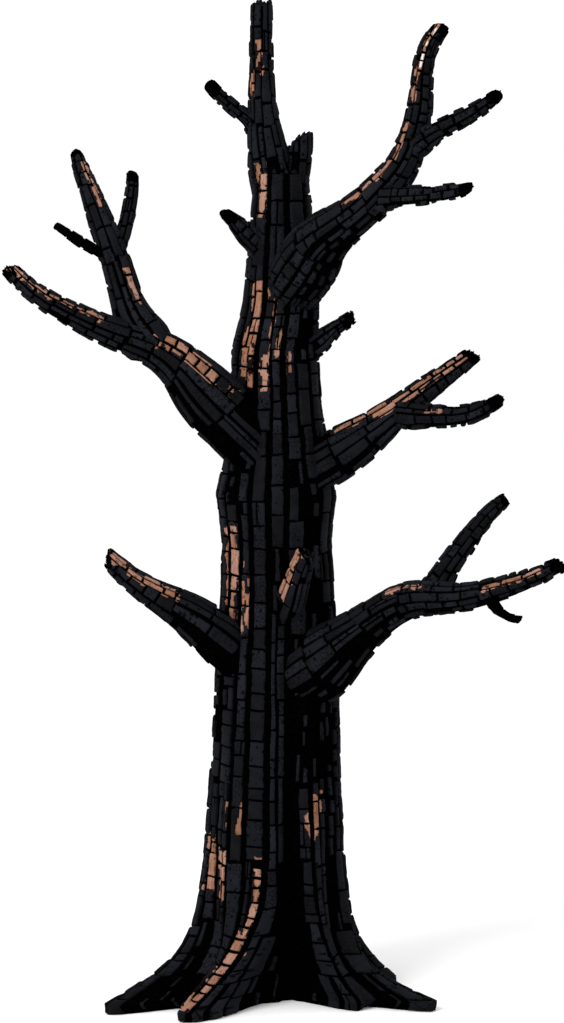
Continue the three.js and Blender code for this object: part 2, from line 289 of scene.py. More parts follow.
@dataclass
class TrunkShape(Surface):
    """The trunk from the ground to its fork, with buttress roots, ribs and the deep front furrow."""

    nudge: ClassVar[float] = 0.006
    stations: tuple[Station, ...] = (
        Station(0.0, 0.0, 0.0, 0.500),
        Station(0.7, -0.004, 0.004, 0.508),
        Station(1.4, -0.006, 0.012, 0.528),
        Station(2.1, -0.002, 0.026, 0.512),
        Station(2.7, 0.006, 0.036, 0.494),
        Station(3.2, 0.010, 0.040, 0.462),
        Station(3.7, 0.002, 0.030, 0.440),
        Station(4.08, 0.0, 0.018, 0.484),
        Station(4.4, 0.002, 0.006, 0.420),
        Station(4.8, -0.002, -0.010, 0.375),
        Station(5.2, -0.008, -0.026, 0.352),
        Station(5.65, 0.038, -0.020, 0.306),
        Station(6.4, 0.045, 0.008, 0.240),
        Station(6.65, 0.042, 0.016, 0.222),
    )
    roots: tuple[Root, ...] = (
        Root(14, 4, 1.00, 0.190, 0.85, 0.200, 10),
        Root(58, -4, 1.19, 0.220, 1.00, 0.220, 10),
        Root(103, 5, 1.10, 0.190, 0.85, 0.200, 11),
        Root(150, -3, 1.09, 0.210, 0.95, 0.210, 10),
        Root(213, -21, 1.60, 0.205, 1.00, 0.215, 8.5),
        Root(229, -1, 0.70, 0.120, 1.30, 0.160, 8),
        Root(240, 21, 1.32, 0.230, 1.00, 0.230, 11),
        Root(311, -9, 0.99, 0.190, 0.85, 0.200, 9),
        Root(329, 13, 1.46, 0.225, 0.86, 0.150, 8.5),
    )
    toe_height: float = 0.085
    toe_sharpness: float = 1.15
    ridge_roundness: float = 2.2
    turn_height: float = 1.0
    widening_height: float = 0.9
    widening: float = 9.0
    rib: float = 0.046
    rib_top: float = 6.2
    furrow_bearing: float = 284.0
    furrow_width: float = 7.5
    furrow_depth: float = 0.105
    furrow_fades: float = 1.2
    furrow_top: float = 3.5
    sector_width: float = 0.35
    samples: int = 48
    contour_steps: int = 500
    bands: tuple[float, ...] = (0.0, 0.3, 1.4, 6.65)
    band_levels: tuple[int, ...] = (31, 45, 60)
    levels: Array = field(init=False)
    bearings: Array = field(init=False)
    half_lengths: Array = field(init=False)

    def __post_init__(self) -> None:
        """Works out, for levels up the trunk, the bearing at each even step of each flank of each root."""
        self.levels = stepped(self.bands, self.band_levels)
        fine = np.linspace(0.0, 1.0, self.contour_steps)
        even = np.linspace(0.0, 1.0, self.samples // 2 + 1)
        self.bearings = np.zeros((len(self.roots), len(self.levels), self.samples + 1))
        self.half_lengths = np.zeros((len(self.roots), 2, len(self.levels)))
        for i, level in enumerate(self.levels):
            ridges = [self.ridge_bearing(root, level) for root in self.roots]
            for k, ridge in enumerate(ridges):
                left = self.between(ridges[k - 1], ridge) / 2.0
                right = self.between(ridge, ridges[(k + 1) % len(ridges)]) / 2.0
                bearing = ridge - left + (left + right) * fine
                radius = self.radius(bearing, np.full_like(bearing, level))
                x = radius * np.cos(np.radians(bearing))
                y = radius * np.sin(np.radians(bearing))
                travelled = np.concatenate([[0.0], np.cumsum(np.hypot(np.diff(x), np.diff(y)))])
                crest = float(np.interp(ridge, bearing, travelled))
                steps = np.concatenate([even * crest, crest + even[1:] * (travelled[-1] - crest)])
                self.bearings[k, i] = np.interp(steps, travelled, bearing)
                self.half_lengths[k, :, i] = crest, travelled[-1] - crest

    @property
    def end(self) -> float:
        """The height of the trunk's fork."""
        return self.stations[-1].height

    @staticmethod
    def between(start: Array, end: Array) -> Array:
        """The signed smallest angle from one bearing to another, in degrees."""
        return (end - start + 540.0) % 360.0 - 180.0

    def ridge_bearing(self, root: Root, height: Array) -> Array:
        """The bearing of a root's ridge at a height, in degrees."""
        return root.bearing + root.turn * smooth(height, 0.0, self.turn_height)

    def axis(self, height: Array) -> Array:
        """Points of the trunk's axis.

        Args:
            height: Heights in metres.

        Returns:
            Positions in metres.
        """
        listed = [s.height for s in self.stations]
        upper = np.clip(np.searchsorted(listed, height), 1, len(listed) - 1)
        heights = np.asarray(listed)
        span = heights[upper] - heights[upper - 1]
        part = smooth((height - heights[upper - 1]) / span, 0.0, 1.0)
        lean = np.asarray([s.lean for s in self.stations])
        sway = np.asarray([s.sway for s in self.stations])
        x = mixed(lean[upper - 1], lean[upper], part)
        y = mixed(sway[upper - 1], sway[upper], part)
        return np.stack([x, y, np.asarray(height, float)], axis=-1)

    def column(self, along: Array) -> Array:
        """The trunk's bare radius at some heights."""
        return np.interp(along, [s.height for s in self.stations], [s.radius for s in self.stations])

    def across_grain(self, along: Array, around: Array) -> Array:
        """Metres across the grain, roughly, for points given by height and by sector."""
        return around * self.sector_width

    def radius(self, bearing: Array, height: Array) -> Array:
        """The trunk's radius.

        Args:
            bearing: Bearings in degrees.
            height: Heights in metres, one for each bearing.

        Returns:
            Distances from the axis to the surface.
        """
        column = self.column(height)
        widening = np.minimum(1.0, height / self.widening_height) * self.widening
        rib = self.rib * (column / self.stations[0].radius) * np.maximum(0.0, 1.0 - height / self.rib_top)
        radius = column - rib * 0.5
        for root in self.roots:
            toe = root.reach - self.stations[0].radius - root.shoulder
            drop = np.maximum(0.0, height - self.toe_height) / root.fall
            shoulder = root.shoulder * np.exp(-((height / root.rise) ** 2))
            flare = shoulder + toe * np.exp(-(drop**self.toe_sharpness))
            turn = np.abs(self.between(bearing, self.ridge_bearing(root, height)))
            across = turn / (root.width + widening)
            radius = radius + (flare + rib) * np.exp(-(across**self.ridge_roundness))
        fade = 1.0 - smooth(height, self.furrow_fades, self.furrow_top)
        across = self.between(bearing, self.furrow_bearing) / self.furrow_width
        return radius - self.furrow_depth * fade * np.exp(-(across**2))

    def bearing(self, along: Array, around: Array) -> Array:
        """The bearing of points of the trunk.

        Args:
            along: Their heights.
            around: Their sectors.

        Returns:
            Degrees from X.
        """
        sector = np.floor(around).astype(int)
        step = (around - sector) * self.samples
        sector = sector % len(self.roots)
        low = np.clip(step.astype(int), 0, self.samples - 1)
        level = np.interp(along, self.levels, np.arange(len(self.levels)))
        under = np.clip(level.astype(int), 0, len(self.levels) - 2)
        s, v = step - low, level - under
        table = self.bearings
        lower = mixed(table[sector, under, low], table[sector, under, low + 1], s)
        upper = mixed(table[sector, under + 1, low], table[sector, under + 1, low + 1], s)
        return mixed(lower, upper, v)

    def point(self, along: Array, around: Array) -> Array:
        """Points of the trunk's surface.

        Args:
            along: Heights in metres.
            around: The root's number plus the share of its contour, from one valley to the next, with the
                ridge halfway.

        Returns:
            Positions in metres.
        """
        height = np.clip(along, 0.0, self.end)
        bearing = self.bearing(height, around)
        radius = self.radius(bearing, height)
        angle = np.radians(bearing)
        outward = np.stack([np.cos(angle), np.sin(angle), np.zeros_like(angle)], axis=-1)
        return self.axis(height) + outward * radius[..., None]

    def holds(self, points: Array, margin: float) -> Array:
        """Whether points lie inside the trunk, by their distance from its axis.

        Args:
            points: Positions in metres.
            margin: How much deeper than the surface they have to be.

        Returns:
            Yes or no for each point.
        """
        height = np.clip(points[..., 2], 0.0, self.end)
        away = points - self.axis(height)
        bearing = np.degrees(np.arctan2(away[..., 1], away[..., 0])) % 360.0
        inside = np.hypot(away[..., 0], away[..., 1]) < self.radius(bearing, height) - margin
        return inside & (points[..., 2] < self.end)

    def within(self, patch: "Patch", spots: Spots) -> Array:
        """How deep spots lie between the two sides of a patch, measured round the trunk's axis.

        Args:
            patch: The patch.
            spots: The spots.

        Returns:
            Metres inside, negative outside.
        """
        away = spots.points - self.axis(spots.along)
        bearing = np.degrees(np.arctan2(away[..., 1], away[..., 0]))
        if patch.root is None:
            middle = math.degrees(math.atan2(patch.facing[1], patch.facing[0]))
        else:
            middle = self.ridge_bearing(self.roots[patch.root], spots.along) + patch.offset
        turn = np.radians(np.abs(self.between(bearing, middle)))
        return patch.half_width - turn * np.hypot(away[..., 0], away[..., 1])


@dataclass
class Limb(Surface):
    """A tapering bough, fork, twig or stub, given by its headings as it leaves what carries it.

    Bearings turn anticlockwise seen from above, from X. Climbs are degrees above level. snap gives the side
    of a slanting break and its slope.
    """

    nudge: ClassVar[float] = 0.01
    name: str
    parent: str
    at: float
    length: float
    thick: tuple[float, ...]
    bearing: tuple[float, ...]
    climb: tuple[float, ...]
    order: int
    collar: float = 1.0
    snap: Pair | None = None
    spacing: float = 0.17
    steps_per_ring: int = 4
    steepest_exit: float = 60.0
    buried_in_limb: float = 0.6
    swell: float = 0.28
    sweep: float = 0.45
    collar_reach: float = 1.5
    snap_slope: float = 0.7
    snap_turn: float = 90.0
    oval: float = 0.05
    three_sided: float = 0.035
    girth_points: int = 49
    steps: int = field(init=False)
    buried: float = field(init=False)
    path: Array = field(init=False)
    sides: Array = field(init=False)
    tops: Array = field(init=False)
    heading: Array = field(init=False)

    def grow(self, trunk: TrunkShape, grown: dict[str, "Limb"]) -> None:
        """Follows the limb's headings from its parent's axis.

        Args:
            trunk: The trunk.
            grown: The limbs already grown, by name.
        """
        first_climb = math.radians(min(self.steepest_exit, self.climb[0]))
        if self.parent == "trunk":
            start = trunk.axis(np.array(self.at))
            self.buried = float(trunk.column(self.at)) / math.cos(first_climb)
        else:
            carrier = grown[self.parent]
            start = carrier.centre(np.array(self.at))
            self.buried = carrier.thick[0] * self.buried_in_limb
        self.steps = math.ceil(self.length / self.spacing) * self.steps_per_ring
        t = (np.arange(self.steps) + 0.5) / self.steps
        bearing = np.radians(spaced(self.bearing, t, True))
        climb = np.radians(spaced(self.climb, t, True))
        flat = np.cos(climb)
        headings = np.stack([flat * np.cos(bearing), flat * np.sin(bearing), np.sin(climb)], axis=-1)
        travelled = np.cumsum(headings, axis=0) * self.length / self.steps
        self.path = start + np.concatenate([np.zeros((1, 3)), travelled])
        side = unit(np.cross(UP, headings[0]))
        along = headings[0]
        self.sides = np.zeros_like(self.path)
        self.tops = np.zeros_like(self.path)
        for k in range(self.steps + 1):
            heading = headings[min(k, self.steps - 1)]
            side = turned(side, along, heading)
            along = heading
            self.sides[k] = side
            self.tops[k] = np.cross(along, side)
        self.heading = headings[-1]

    @property
    def end(self) -> float:
        """The limb's length."""
        return self.length

    def girth(self, along: float) -> float:
        """The length round the limb at a distance along it, with its collar."""
        ring = self.point(np.full(self.girth_points, along), np.linspace(0.0, 1.0, self.girth_points))
        return float(np.linalg.norm(np.diff(ring, axis=0), axis=-1).sum())

    def read(self, values: Array, along: Array) -> Array:
        """Reads one of the limb's path lists.

        Args:
            values: The list.
            along: Distances along the limb.

        Returns:
            A value for each distance.
        """
        x = np.clip(along / self.length, 0.0, 1.0) * self.steps
        low = np.minimum(x.astype(int), self.steps - 1)
        part = (x - low)[..., None]
        return mixed(values[low], values[low + 1], part)

    def centre(self, along: Array) -> Array:
        """Points of the limb's axis."""
        return self.read(self.path, along)

    def column(self, along: Array) -> Array:
        """The limb's radius, without its collar."""
        return spaced(self.thick, np.asarray(along) / self.length, False)

    def across_grain(self, along: Array, around: Array) -> Array:
        """Metres across the grain, from the seam that every limb has at turn 0."""
        return (around % 1.0) * FULL_TURN * self.column(along)

    def point(self, along: Array, around: Array) -> Array:
        """Points of the limb's surface.

        Args:
            along: Distances along the limb in metres.
            around: Turns round it.

        Returns:
            Positions in metres.
        """
        angle = FULL_TURN * around
        beyond = np.maximum(0.0, along - self.buried) / (self.collar_reach * self.thick[0])
        collar = self.collar * smooth(along, 0.0, self.buried) * np.exp(-(beyond**2))
        oval = self.oval * np.sin(2.0 * angle + self.order)
        lumps = oval + self.three_sided * np.sin(3.0 * angle - self.order)
        reach = self.column(along) * (1.0 + self.swell * collar) * (1.0 + lumps)
        under = np.where(np.sin(angle) < 0.0, 1.0 + self.sweep * collar, 1.0)
        across = self.read(self.sides, along) * (np.cos(angle) * reach)[..., None]
        above = self.read(self.tops, along) * (np.sin(angle) * reach * under)[..., None]
        return self.centre(along) + across + above + self.snapped(along, around)

    def snapped(self, along: Array, around: Array) -> Array:
        """How the slanting break moves the last stretch of the limb along its heading.

        Args:
            along: Distances along the limb.
            around: Turns round it.

        Returns:
            The move of each point.
        """
        bearing, amount = self.snap or (self.snap_turn * self.order, self.snap_slope)
        radius = self.thick[-1]
        last = np.clip((along - self.length + self.spacing) / self.spacing, 0.0, 1.0)
        slope = np.cos(FULL_TURN * around - math.radians(bearing)) - 1.0
        return self.heading * (last * slope * amount * radius / 2.0)[..., None]

    def holds(self, points: Array, margin: float) -> Array:
        """Whether points lie inside the limb, by the nearest point of its path.

        Args:
            points: Positions in metres.
            margin: How much deeper than the surface they have to be.

        Returns:
            Yes or no for each point.
        """
        flat = points.reshape(-1, 3)
        gap = np.linalg.norm(flat[:, None, :] - self.path[None, :, :], axis=-1)
        nearest = gap.argmin(axis=1)
        along = nearest * self.length / self.steps
        inside = gap[np.arange(len(flat)), nearest] < self.column(along) - margin
        inside &= (nearest < self.steps) & (nearest > 0)
        return inside.reshape(points.shape[:-1])

    def within(self, patch: "Patch", spots: Spots) -> Array:
        """How deep spots lie between the two sides of a patch, measured from where it faces.

        Args:
            patch: The patch.
            spots: The spots.

        Returns:
            Metres inside, negative outside.
        """
        facing = np.asarray(patch.facing) / np.linalg.norm(patch.facing)
        turn = np.arccos(np.clip(spots.normals @ facing, -1.0, 1.0))
        return patch.half_width + (patch.half_turn - turn) * self.column(spots.along)


# Bark, cut into blocks by the fire


@dataclass(frozen=True)
class Patch:
    """A place where the char has fallen off.

    start and end are metres along the limb, or heights on the trunk. facing is the direction it looks in.
    half_width is in metres round the surface, and half_turn adds radians round a limb to it. A patch with a
    root follows that root's ridge, offset by degrees. Where cell is given, the blocks under the patch have
    cracked into pieces about that long.
    """

    node: str
    start: float
    end: float
    facing: Triple
    half_width: float
    layer: Layer = Layer.BARE
    root: int | None = None
    offset: float = 0.0
    ragged: float = 0.045
    half_turn: float = 0.0
    cell: float = 0.0
    edge_squash: ClassVar[Triple] = (1.0, 1.0, 0.45)
    edge_lumps: ClassVar[NoiseLayers] = ((0.65, 0.045, 5), (0.5, 0.019, 6))

    def depth(self, surface: Surface, spots: Spots) -> Array:
        """How deep spots lie inside the patch.

        Args:
            surface: The trunk or limb that the spots belong to.
            spots: The spots.

        Returns:
            Metres inside the patch's ragged edge, negative outside.
        """
        ends = np.minimum(spots.along - self.start, self.end - spots.along)
        inside = np.minimum(ends, surface.within(self, spots))
        return inside + self.ragged * layered(spots.points * np.array(self.edge_squash), self.edge_lumps)


Corners = tuple[Pair, Pair]


@dataclass(frozen=True)
class Block:
    """A bark block by its corners: first its lower and upper end, then its left and right side.

    gaps holds half the fissure on each side, in metres. sparse marks where most blocks are gone to slivers
    over the black core, partly as painted shade.
    """

    along: Corners
    around: Corners
    gaps: Pair
    sparse: bool


@dataclass
class Cells:
    """Blocks that stand, with what each has of its own.

    The gaps are shares of the block's width and length. number tells one block from another in the noise that
    wears their edges.
    """

    along: Array
    around: Array
    width: Array
    length: Array
    gap_left: Array
    gap_right: Array
    gap_end: Array
    level: Array
    slant: Array
    tone: Array
    number: Array

    def fitted(self, across: Array, lengthwise: Array) -> tuple[Array, Array]:
        """A grid from 0 to 1 fitted between each block's gaps."""
        left, right, end = (gap[:, None, None] for gap in (self.gap_left, self.gap_right, self.gap_end))
        return left + across * (1.0 - left - right), end + lengthwise * (1.0 - 2.0 * end)

    def nearest_edge(self, across: Array, lengthwise: Array) -> Array:
        """How far the points of a grid are from the nearest edge of each block.

        Args:
            across: Their places across the block, from 0 to 1.
            lengthwise: Their places along it.

        Returns:
            Metres.
        """
        from_side = np.minimum(across, 1.0 - across) * self.width[:, None, None]
        from_end = np.minimum(lengthwise, 1.0 - lengthwise) * self.length[:, None, None]
        return np.minimum(from_side, from_end)

    def lean(self, across: Array, lengthwise: Array) -> Array:
        """Each block's level and slant, over a grid."""
        aside, onward = self.slant[:, 0, None, None], self.slant[:, 1, None, None]
        return self.level[:, None, None] + (aside * (2 * across - 1) + onward * (2 * lengthwise - 1))


def spread(corners: Array, across: Array, lengthwise: Array) -> Array:
    """Spreads values at each block's corners over its grid.

    Args:
        corners: The values, by end and side.
        across: The grid's places across the block, from 0 to 1.
        lengthwise: Its places along the block.

    Returns:
        A value for each point of the grid.
    """
    low = mixed(corners[:, 0, 0, None, None], corners[:, 0, 1, None, None], across)
    high = mixed(corners[:, 1, 0, None, None], corners[:, 1, 1, None, None], across)
    return mixed(low, high, lengthwise)


def cut(corners: Array, piece: Array, pieces: Array) -> Array:
    """Corner values of pieces of blocks.

    Args:
        corners: The values for the whole block of each piece.
        piece: Each piece's number in its block.
        pieces: How many pieces its block has.

    Returns:
        The values for the pieces.
    """
    low, high = corners[:, :1, :], corners[:, 1:, :]
    start, finish = ((number / pieces)[:, None, None] for number in (piece, piece + 1))
    return np.concatenate([low + (high - low) * start, low + (high - low) * finish], axis=1)


def cell_means(values: Array) -> Array:
    """The mean of the four corners of each cell in grids of values."""
    return (values[:, 1:, 1:] + values[:, :-1, 1:] + values[:, 1:, :-1] + values[:, :-1, :-1]) / 4.0


@dataclass
class CharBark:
    """Bark burnt into rows of blocks, as big as those on an old charred trunk.

    Sizes are in metres; rows, middles, places and the widest gaps are shares of a block. worn_sides and
    worn_ends give how far a block's edges waver and how long the waves are. Bare wood runs in under the char
    by bare_under.
    """

    wide: float = 0.118
    narrow: float = 0.060
    wide_girth: float = 1.6
    longest: float = 0.28
    shortest: float = 0.13
    column_gap: float = 0.30
    main_gap: float = 0.056
    cleft_share: float = 0.10
    cleft: float = 0.012
    end_gap: float = 0.016
    crack: float = 0.023
    kept_slivers: float = 0.7
    sliver: Pair = (0.018, 0.040)
    deep: float = 0.022
    deep_share: float = 0.26
    proud: float = 0.004
    uneven: float = 0.007
    bevel: float = 0.008
    bevel_reach: float = 0.007
    bare_drop: float = 0.008
    across: int = 9
    lengthwise: int = 13
    side_rows: tuple[float, ...] = (0.0, 0.07, 0.19)
    side_middle: Pair = (0.36, 0.64)
    end_rows: tuple[float, ...] = (0.0, 0.03, 0.09)
    end_middle: Pair = (0.18, 0.82)
    cleft_place: Pair = (0.36, 0.64)
    unequal: Pair = (0.6, 1.5)
    sliver_place: Pair = (0.1, 0.9)
    sliver_shorter: float = 0.2
    widest_gap: float = 0.36
    widest_end: float = 0.2
    slant: float = 0.004
    covered_depth: float = 0.02
    piece_tone: float = 0.37
    piece_number: float = 0.29
    worn_stretch: Triple = (1.6, 3.1, 0.0)
    worn_stride: Triple = (7.31, 3.17, 1.9)
    worn_sides: Pair = (0.045, 0.55)
    worn_ends: Pair = (0.020, 0.45)
    worn_bevel: NoiseLayers = ((0.6, 0.3, 3),)
    crackle: NoiseLayers = ((0.0026, 0.05, 8), (0.0014, 0.017, 9))
    sunk: float = 0.006
    bare_under: float = 0.02
    soot_edge: NoiseLayers = ((0.03, 0.03, 4),)
    floor_lumps: NoiseLayers = ((0.003, 0.04, 2),)

    def width(self, girth: float) -> float:
        """The width of a block's column on a limb of some girth."""
        return self.narrow + (self.wide - self.narrow) * min(1.0, girth / self.wide_girth)

    def depth(self, radius: Array) -> Array:
        """How far the fissures' floor lies below the surface."""
        return np.minimum(self.deep, self.deep_share * radius)

    def grid(self) -> tuple[Array, Array]:
        """The points of a block's plate from 0 to 1, closer together near its edges.

        Returns:
            Where they are across the block and lengthwise.
        """
        lines = []
        for rows, middle, count in (
            (self.side_rows, self.side_middle, self.across),
            (self.end_rows, self.end_middle, self.lengthwise),
        ):
            edge = np.array(rows)
            between = np.linspace(*middle, count - 2 * len(edge))
            lines.append(np.concatenate([edge, between, 1.0 - edge[::-1]]))
        across, lengthwise = np.meshgrid(*lines, indexing="ij")
        return across, lengthwise

    def stack(self, blocks: list[Block], rng: Chance, sides: tuple["Side", "Side"], ends: Array,
              tilt: float, sparse: bool = False) -> None:
        """Adds one column of blocks.

        Args:
            blocks: The list to add to.
            rng: The seeded chance.
            sides: The fissures on its left and right.
            ends: Where the blocks begin and end along the surface.
            tilt: How far the blocks' ends slant.
            sparse: Whether most are gone to slivers over the black core, partly as painted shade.
        """
        tilts = rng.uniform(-tilt, tilt, len(ends))
        lefts, rights = (side.line(ends) for side in sides)
        for k in range(len(ends) - 1):
            low, high = ends[k], ends[k + 1]
            slanted = ((low - tilts[k], low + tilts[k]), (high - tilts[k + 1], high + tilts[k + 1]))
            if sparse or rng.uniform() > self.cleft_share:
                pieces = [((lefts[k], rights[k]), (lefts[k + 1], rights[k + 1]), sides[0].gap, sides[1].gap)]
            else:
                share = rng.uniform(*self.cleft_place)
                middle = [lefts[n] + (rights[n] - lefts[n]) * share for n in (k, k + 1)]
                pieces = [
                    ((lefts[k], middle[0]), (lefts[k + 1], middle[1]), sides[0].gap, 0.5 * self.cleft),
                    ((middle[0], rights[k]), (middle[1], rights[k + 1]), 0.5 * self.cleft, sides[1].gap),
                ]
            for lower, upper, left, right in pieces:
                blocks.append(Block(slanted, (lower, upper), (left, right), sparse))

    def split(self, rng: Chance, low: float, high: float, length: float) -> Array:
        """Cuts between two places, for unequal pieces.

        Args:
            rng: The seeded chance.
            low: Where the first piece begins.
            high: Where the last one ends.
            length: The pieces' usual length.

        Returns:
            The places, with both ends.
        """
        pieces = max(1, round((high - low) / length))
        shares = rng.uniform(*self.unequal, pieces)
        return low + (high - low) * np.concatenate([[0.0], np.cumsum(shares) / shares.sum()])


@dataclass(frozen=True)
class Side:
    """A fissure between two columns of blocks: where it runs, how it waves, and half its width in metres."""

    around: float
    phase: float
    sway: float
    gap: float
    waves: ClassVar[float] = 9.0

    def line(self, along: Array) -> Array:
        """Where the fissure runs round the surface, at places along it."""
        return self.around + self.sway * np.sin(self.waves * along + self.phase)


def stood(name: str, data: ID) -> Object:
    """Makes an object and links it to the scene.

    Args:
        name: Its name.
        data: Its mesh, light or camera.

    Returns:
        The object.
    """
    thing = bpy.data.objects.new(name, data)
    bpy.context.scene.collection.objects.link(thing)
    return thing


@dataclass
class Skin:
    """Vertices, faces and tones gathered for one mesh."""

    parts: list[tuple[Array, ...]] = field(default_factory=list)
    count: int = 0

    def add(self, points: Array, faces: Array, rounded: Array, tones: Array, laid: Array) -> None:
        """Adds a mesh to the skin.

        Args:
            points: Its vertices.
            faces: Its four-sided or three-sided faces, by vertex number; a triangle repeats its last vertex.
            rounded: Whether each face is shaded as part of a curve.
            tones: A number from 0 to 1 for each vertex.
            laid: Metres across and along the grain for each vertex, and a number for its limb.
        """
        self.parts.append((points, faces + self.count, rounded, tones, laid))
        self.count += len(points)

    def piece(self, name: str) -> Object | None:
        """Makes the gathered mesh into an object.

        Args:
            name: The object's name.

        Returns:
            The object, or None if nothing was gathered.
        """
        if not self.count:
            return None
        points, faces, rounded, tones, laid = (np.concatenate(each) for each in zip(*self.parts))
        used, renumbered = np.unique(faces, return_inverse=True)
        faces = renumbered.reshape(faces.shape)
        points = points[used]
        points[:, 2] = np.maximum(points[:, 2], 0.0)
        triangle = faces[:, 2] == faces[:, 3]
        sizes = np.where(triangle, 3, 4)
        starts = np.concatenate([[0], np.cumsum(sizes)[:-1]])
        keep = np.ones(faces.shape, bool)
        keep[triangle, 3] = False
        mesh = bpy.data.meshes.new(name)
        mesh.vertices.add(len(points))
        mesh.vertices.foreach_set("co", points.astype(np.float32).ravel())
        mesh.loops.add(int(sizes.sum()))
        mesh.loops.foreach_set("vertex_index", faces[keep].astype(np.int32))
        mesh.polygons.add(len(faces))
        mesh.polygons.foreach_set("loop_start", starts.astype(np.int32))
        mesh.polygons.foreach_set("use_smooth", rounded)
        mesh.update(calc_edges=True)
        mesh.validate()
        for attribute, kind, key, values in (
            ("tone", "FLOAT", "value", tones),
            ("laid", "FLOAT_VECTOR", "vector", laid),
        ):
            data = mesh.attributes.new(attribute, kind, "POINT").data
            data.foreach_set(key, values[used].astype(np.float32).ravel())
        return stood(name, mesh)


def grid_faces(mask: Array, lower: int) -> tuple[Array, Array]:
    """Faces of many raised plates, each a grid of vertices above a second grid.

    Args:
        mask: Which cells of each grid stand, as block, across, lengthwise.
        lower: How many vertices the upper grids have together, where the lower ones begin.

    Returns:
        Four-sided faces by vertex number, and whether each is part of the plate's top.
    """
    blocks, cells_u, cells_v = mask.shape
    ids = np.arange(blocks * (cells_u + 1) * (cells_v + 1)).reshape(blocks, cells_u + 1, cells_v + 1)
    a, b = ids[:, :-1, :-1], ids[:, 1:, :-1]
    c, d = ids[:, 1:, 1:], ids[:, :-1, 1:]
    padded = np.pad(mask, ((0, 0), (1, 1), (1, 1)))
    faces = [np.stack([a, b, c, d], -1)[mask]]
    walls = (
        (padded[:, :-2, 1:-1], a, d),
        (padded[:, 2:, 1:-1], c, b),
        (padded[:, 1:-1, :-2], b, a),
        (padded[:, 1:-1, 2:], d, c),
    )
    for neighbour, first, second in walls:
        edge = mask & ~neighbour
        faces.append(np.stack([first, second, second + lower, first + lower], -1)[edge])
    tops = np.concatenate([np.full(len(faces[0]), True), np.full(sum(len(f) for f in faces[1:]), False)])
    return np.concatenate(faces), tops


